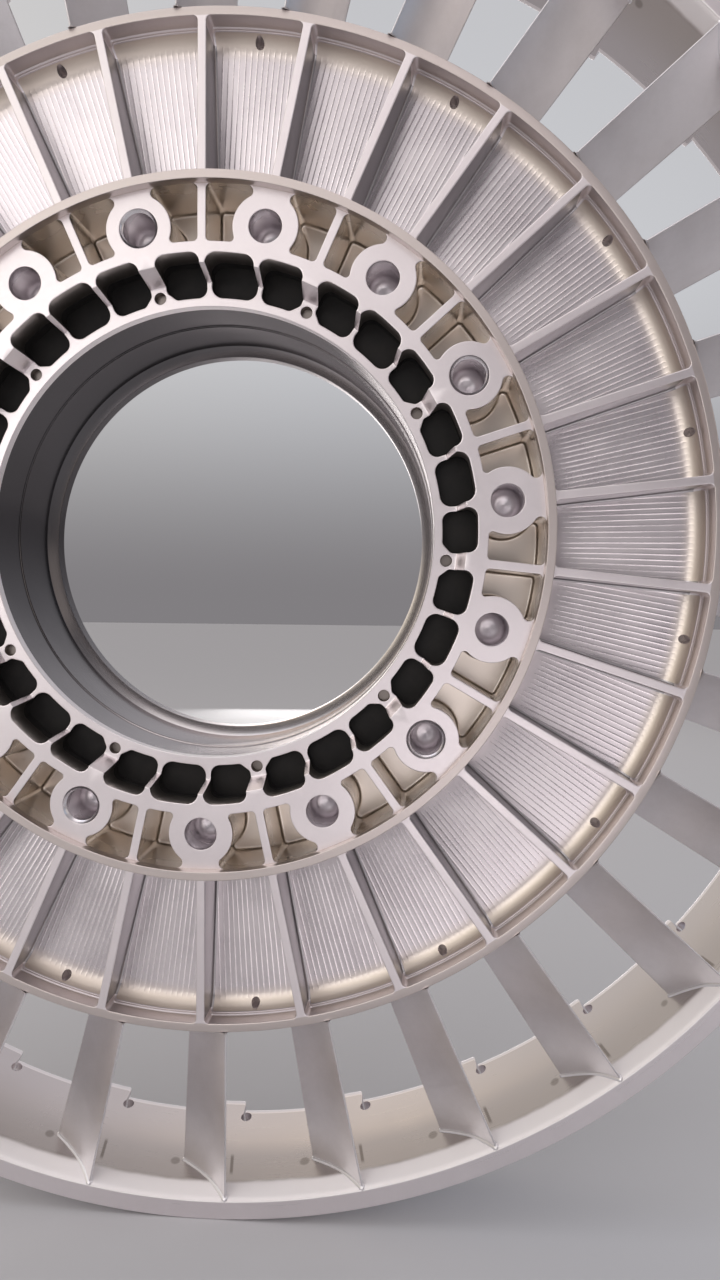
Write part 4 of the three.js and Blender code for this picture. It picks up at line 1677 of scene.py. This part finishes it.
@dataclass
class Studio:
    """A pale floor, soft lights and the camera at the photograph's viewing angle."""

    focal_pixels: float = 900.0
    long_side_pixels: float = 1280.0
    unit: float = 0.0005647
    turn: float = 0.55
    tilt: float = 2.54
    pan: float = -4.03
    shift_right: float = -159.1
    shift_up: float = 108.2
    distance: float = 900.0
    floor_level: float = -0.400
    floor_reach: float = 12.0
    horizon: Colour = (0.22, 0.21, 0.22)
    horizon_band: float = 0.35
    behind: Colour = (0.42, 0.44, 0.46)
    before: Colour = (0.02, 0.02, 0.03)
    left: Colour = (0.80, 0.72, 0.56)
    above: Colour = (0.70, 0.66, 0.66)
    panels: tuple[Panel, ...] = (
        Panel("window_left", -32.0, 8.0, 4.4, (1.0, 0.97, 0.95)),
        Panel("window_near", -13.0, 16.0, 0.9, (1.0, 0.96, 0.95), 0.5, 1.5),
        Panel("window_high", -30.0, 36.0, 1.7, (1.0, 0.97, 0.90)),
        Panel("ceiling_front", 5.0, 36.0, 2.2, (1.0, 0.93, 0.92)),
        Panel("ceiling_left", -60.0, 58.0, 2.4, (0.80, 0.88, 1.0)),
        Panel("wall_right", 60.0, 18.0, 1.5, (1.0, 0.86, 0.76)),
        Panel("sky_right", 95.0, 20.0, 2.6, (0.35, 0.68, 1.0)),
        Panel("lamp_behind_left", -130.0, 55.0, 3.0, (1.0, 0.82, 0.55), 1.4, 2.4),
        Panel("lamp_behind", -175.0, -0.5, 5.0, (1.0, 0.97, 0.94), 0.66, 2.4),
        Panel("ceiling_top", 0.0, 72.0, 2.0, (1.0, 0.97, 0.96), 1.0, 2.0),
        Panel("bounce_right", 15.0, -18.0, 0.62, (1.0, 0.94, 0.96), 0.4, 0.95),
    )

    def camera(self) -> None:
        """Places the camera where the fit to the photograph put it."""
        tilt, pan = radians(self.tilt), radians(self.pan)
        about_x = np.array([[1, 0, 0], [0, cos(tilt), -sin(tilt)], [0, sin(tilt), cos(tilt)]])
        about_z = np.array([[cos(pan), -sin(pan), 0], [sin(pan), cos(pan), 0], [0, 0, 1]])
        rows = about_x @ about_z
        place = -rows.T @ np.array([self.shift_right, self.distance, self.shift_up]) * self.unit
        c, s = cos(radians(self.turn)), sin(radians(self.turn))
        spin = np.array([[c, 0, -s], [0, 1, 0], [s, 0, c]])
        place = spin @ place + np.array([0.0, FRONT_PLANE, 0.0])
        right, forward, up = (spin @ row for row in rows)
        data = bpy.data.cameras.new("camera")
        data.sensor_width = 36.0
        data.lens = self.focal_pixels * data.sensor_width / self.long_side_pixels
        data.clip_start = 0.01
        camera = bpy.data.objects.new("camera", data)
        bpy.context.scene.collection.objects.link(camera)
        axes = np.eye(4)
        axes[:3, 0], axes[:3, 1], axes[:3, 2], axes[:3, 3] = right, up, -forward, place
        camera.matrix_world = Matrix(axes.tolist())
        bpy.context.scene.camera = camera

    def floor(self) -> None:
        """Lays the floor."""
        work = MeshWork()
        far, level = self.floor_reach, self.floor_level
        corners = [(-far, -far, level), (far, -far, level), (far, far, level), (-far, far, level)]
        work.cap(work.add(np.array(corners)))
        floor = work.build("floor", [PaleFloor().material()])

    def light(self, panel: Panel) -> None:
        """Hangs one soft light that faces the wheel.

        Args:
            panel: Where it hangs, its size and its light.
        """
        data = bpy.data.lights.new(panel.name, "AREA")
        data.shape = "SQUARE"
        data.size = panel.size
        data.energy = panel.power
        data.color = panel.color
        lamp = bpy.data.objects.new(panel.name, data)
        bpy.context.scene.collection.objects.link(lamp)
        side, rise = radians(panel.azimuth), radians(panel.elevation)
        place = Vector((cos(rise) * sin(side), -cos(rise) * cos(side), sin(rise))) * panel.distance
        lamp.location = place
        lamp.rotation_euler = (-place).to_track_quat("-Z", "Y").to_euler()
        lamp.visible_camera = False

    def world(self) -> None:
        """Sets the plain surroundings, which grow brighter above the level of the floor."""
        tree = Tree(bpy.data.worlds.new("studio"))
        x, y, z = tree.split(tree.node("ShaderNodeTexCoord", {}, {}).outputs["Generated"])
        rise = z.step(0.0, self.horizon_band)
        color: Colour | bpy.types.NodeSocket = self.horizon
        lobes = (
            (y, 2.0, self.behind), (0 - y, 2.0, self.before), (0 - x, 2.0, self.left), (z, 5.0, self.above),
        )
        for side, power, tint in lobes:
            share = side.maths("MAXIMUM", side, 0.0) ** power
            color = tree.mix(share * rise, color, tint, "ADD")
        shade = tree.node("ShaderNodeBackground", {}, {"Color": color, "Strength": 1.0})
        tree.node("ShaderNodeOutputWorld", {}, {"Surface": shade.outputs[0]})
        bpy.context.scene.world = tree.owner

    def build(self) -> None:
        """Sets up the camera, the floor, the surroundings and the lights."""
        bpy.context.scene.view_settings.view_transform = "Standard"
        self.camera()
        self.floor()
        self.world()
        for panel in self.panels:
            self.light(panel)
        log.info("studio: camera, floor and %d lights", len(self.panels))


def main() -> None:
    """Builds the wheel and the room round it."""
    logging.basicConfig(level=logging.INFO, format="%(name)s %(message)s")
    paints = Paints.mixed()
    ring = OuterRing(paints)
    ring.build()
    Disc(paints).build()
    Hub(paints).build()
    Bore(paints).build()
    Vanes(paints, ring).build()
    Studio().build()


if __name__ == "__main__":
    main()
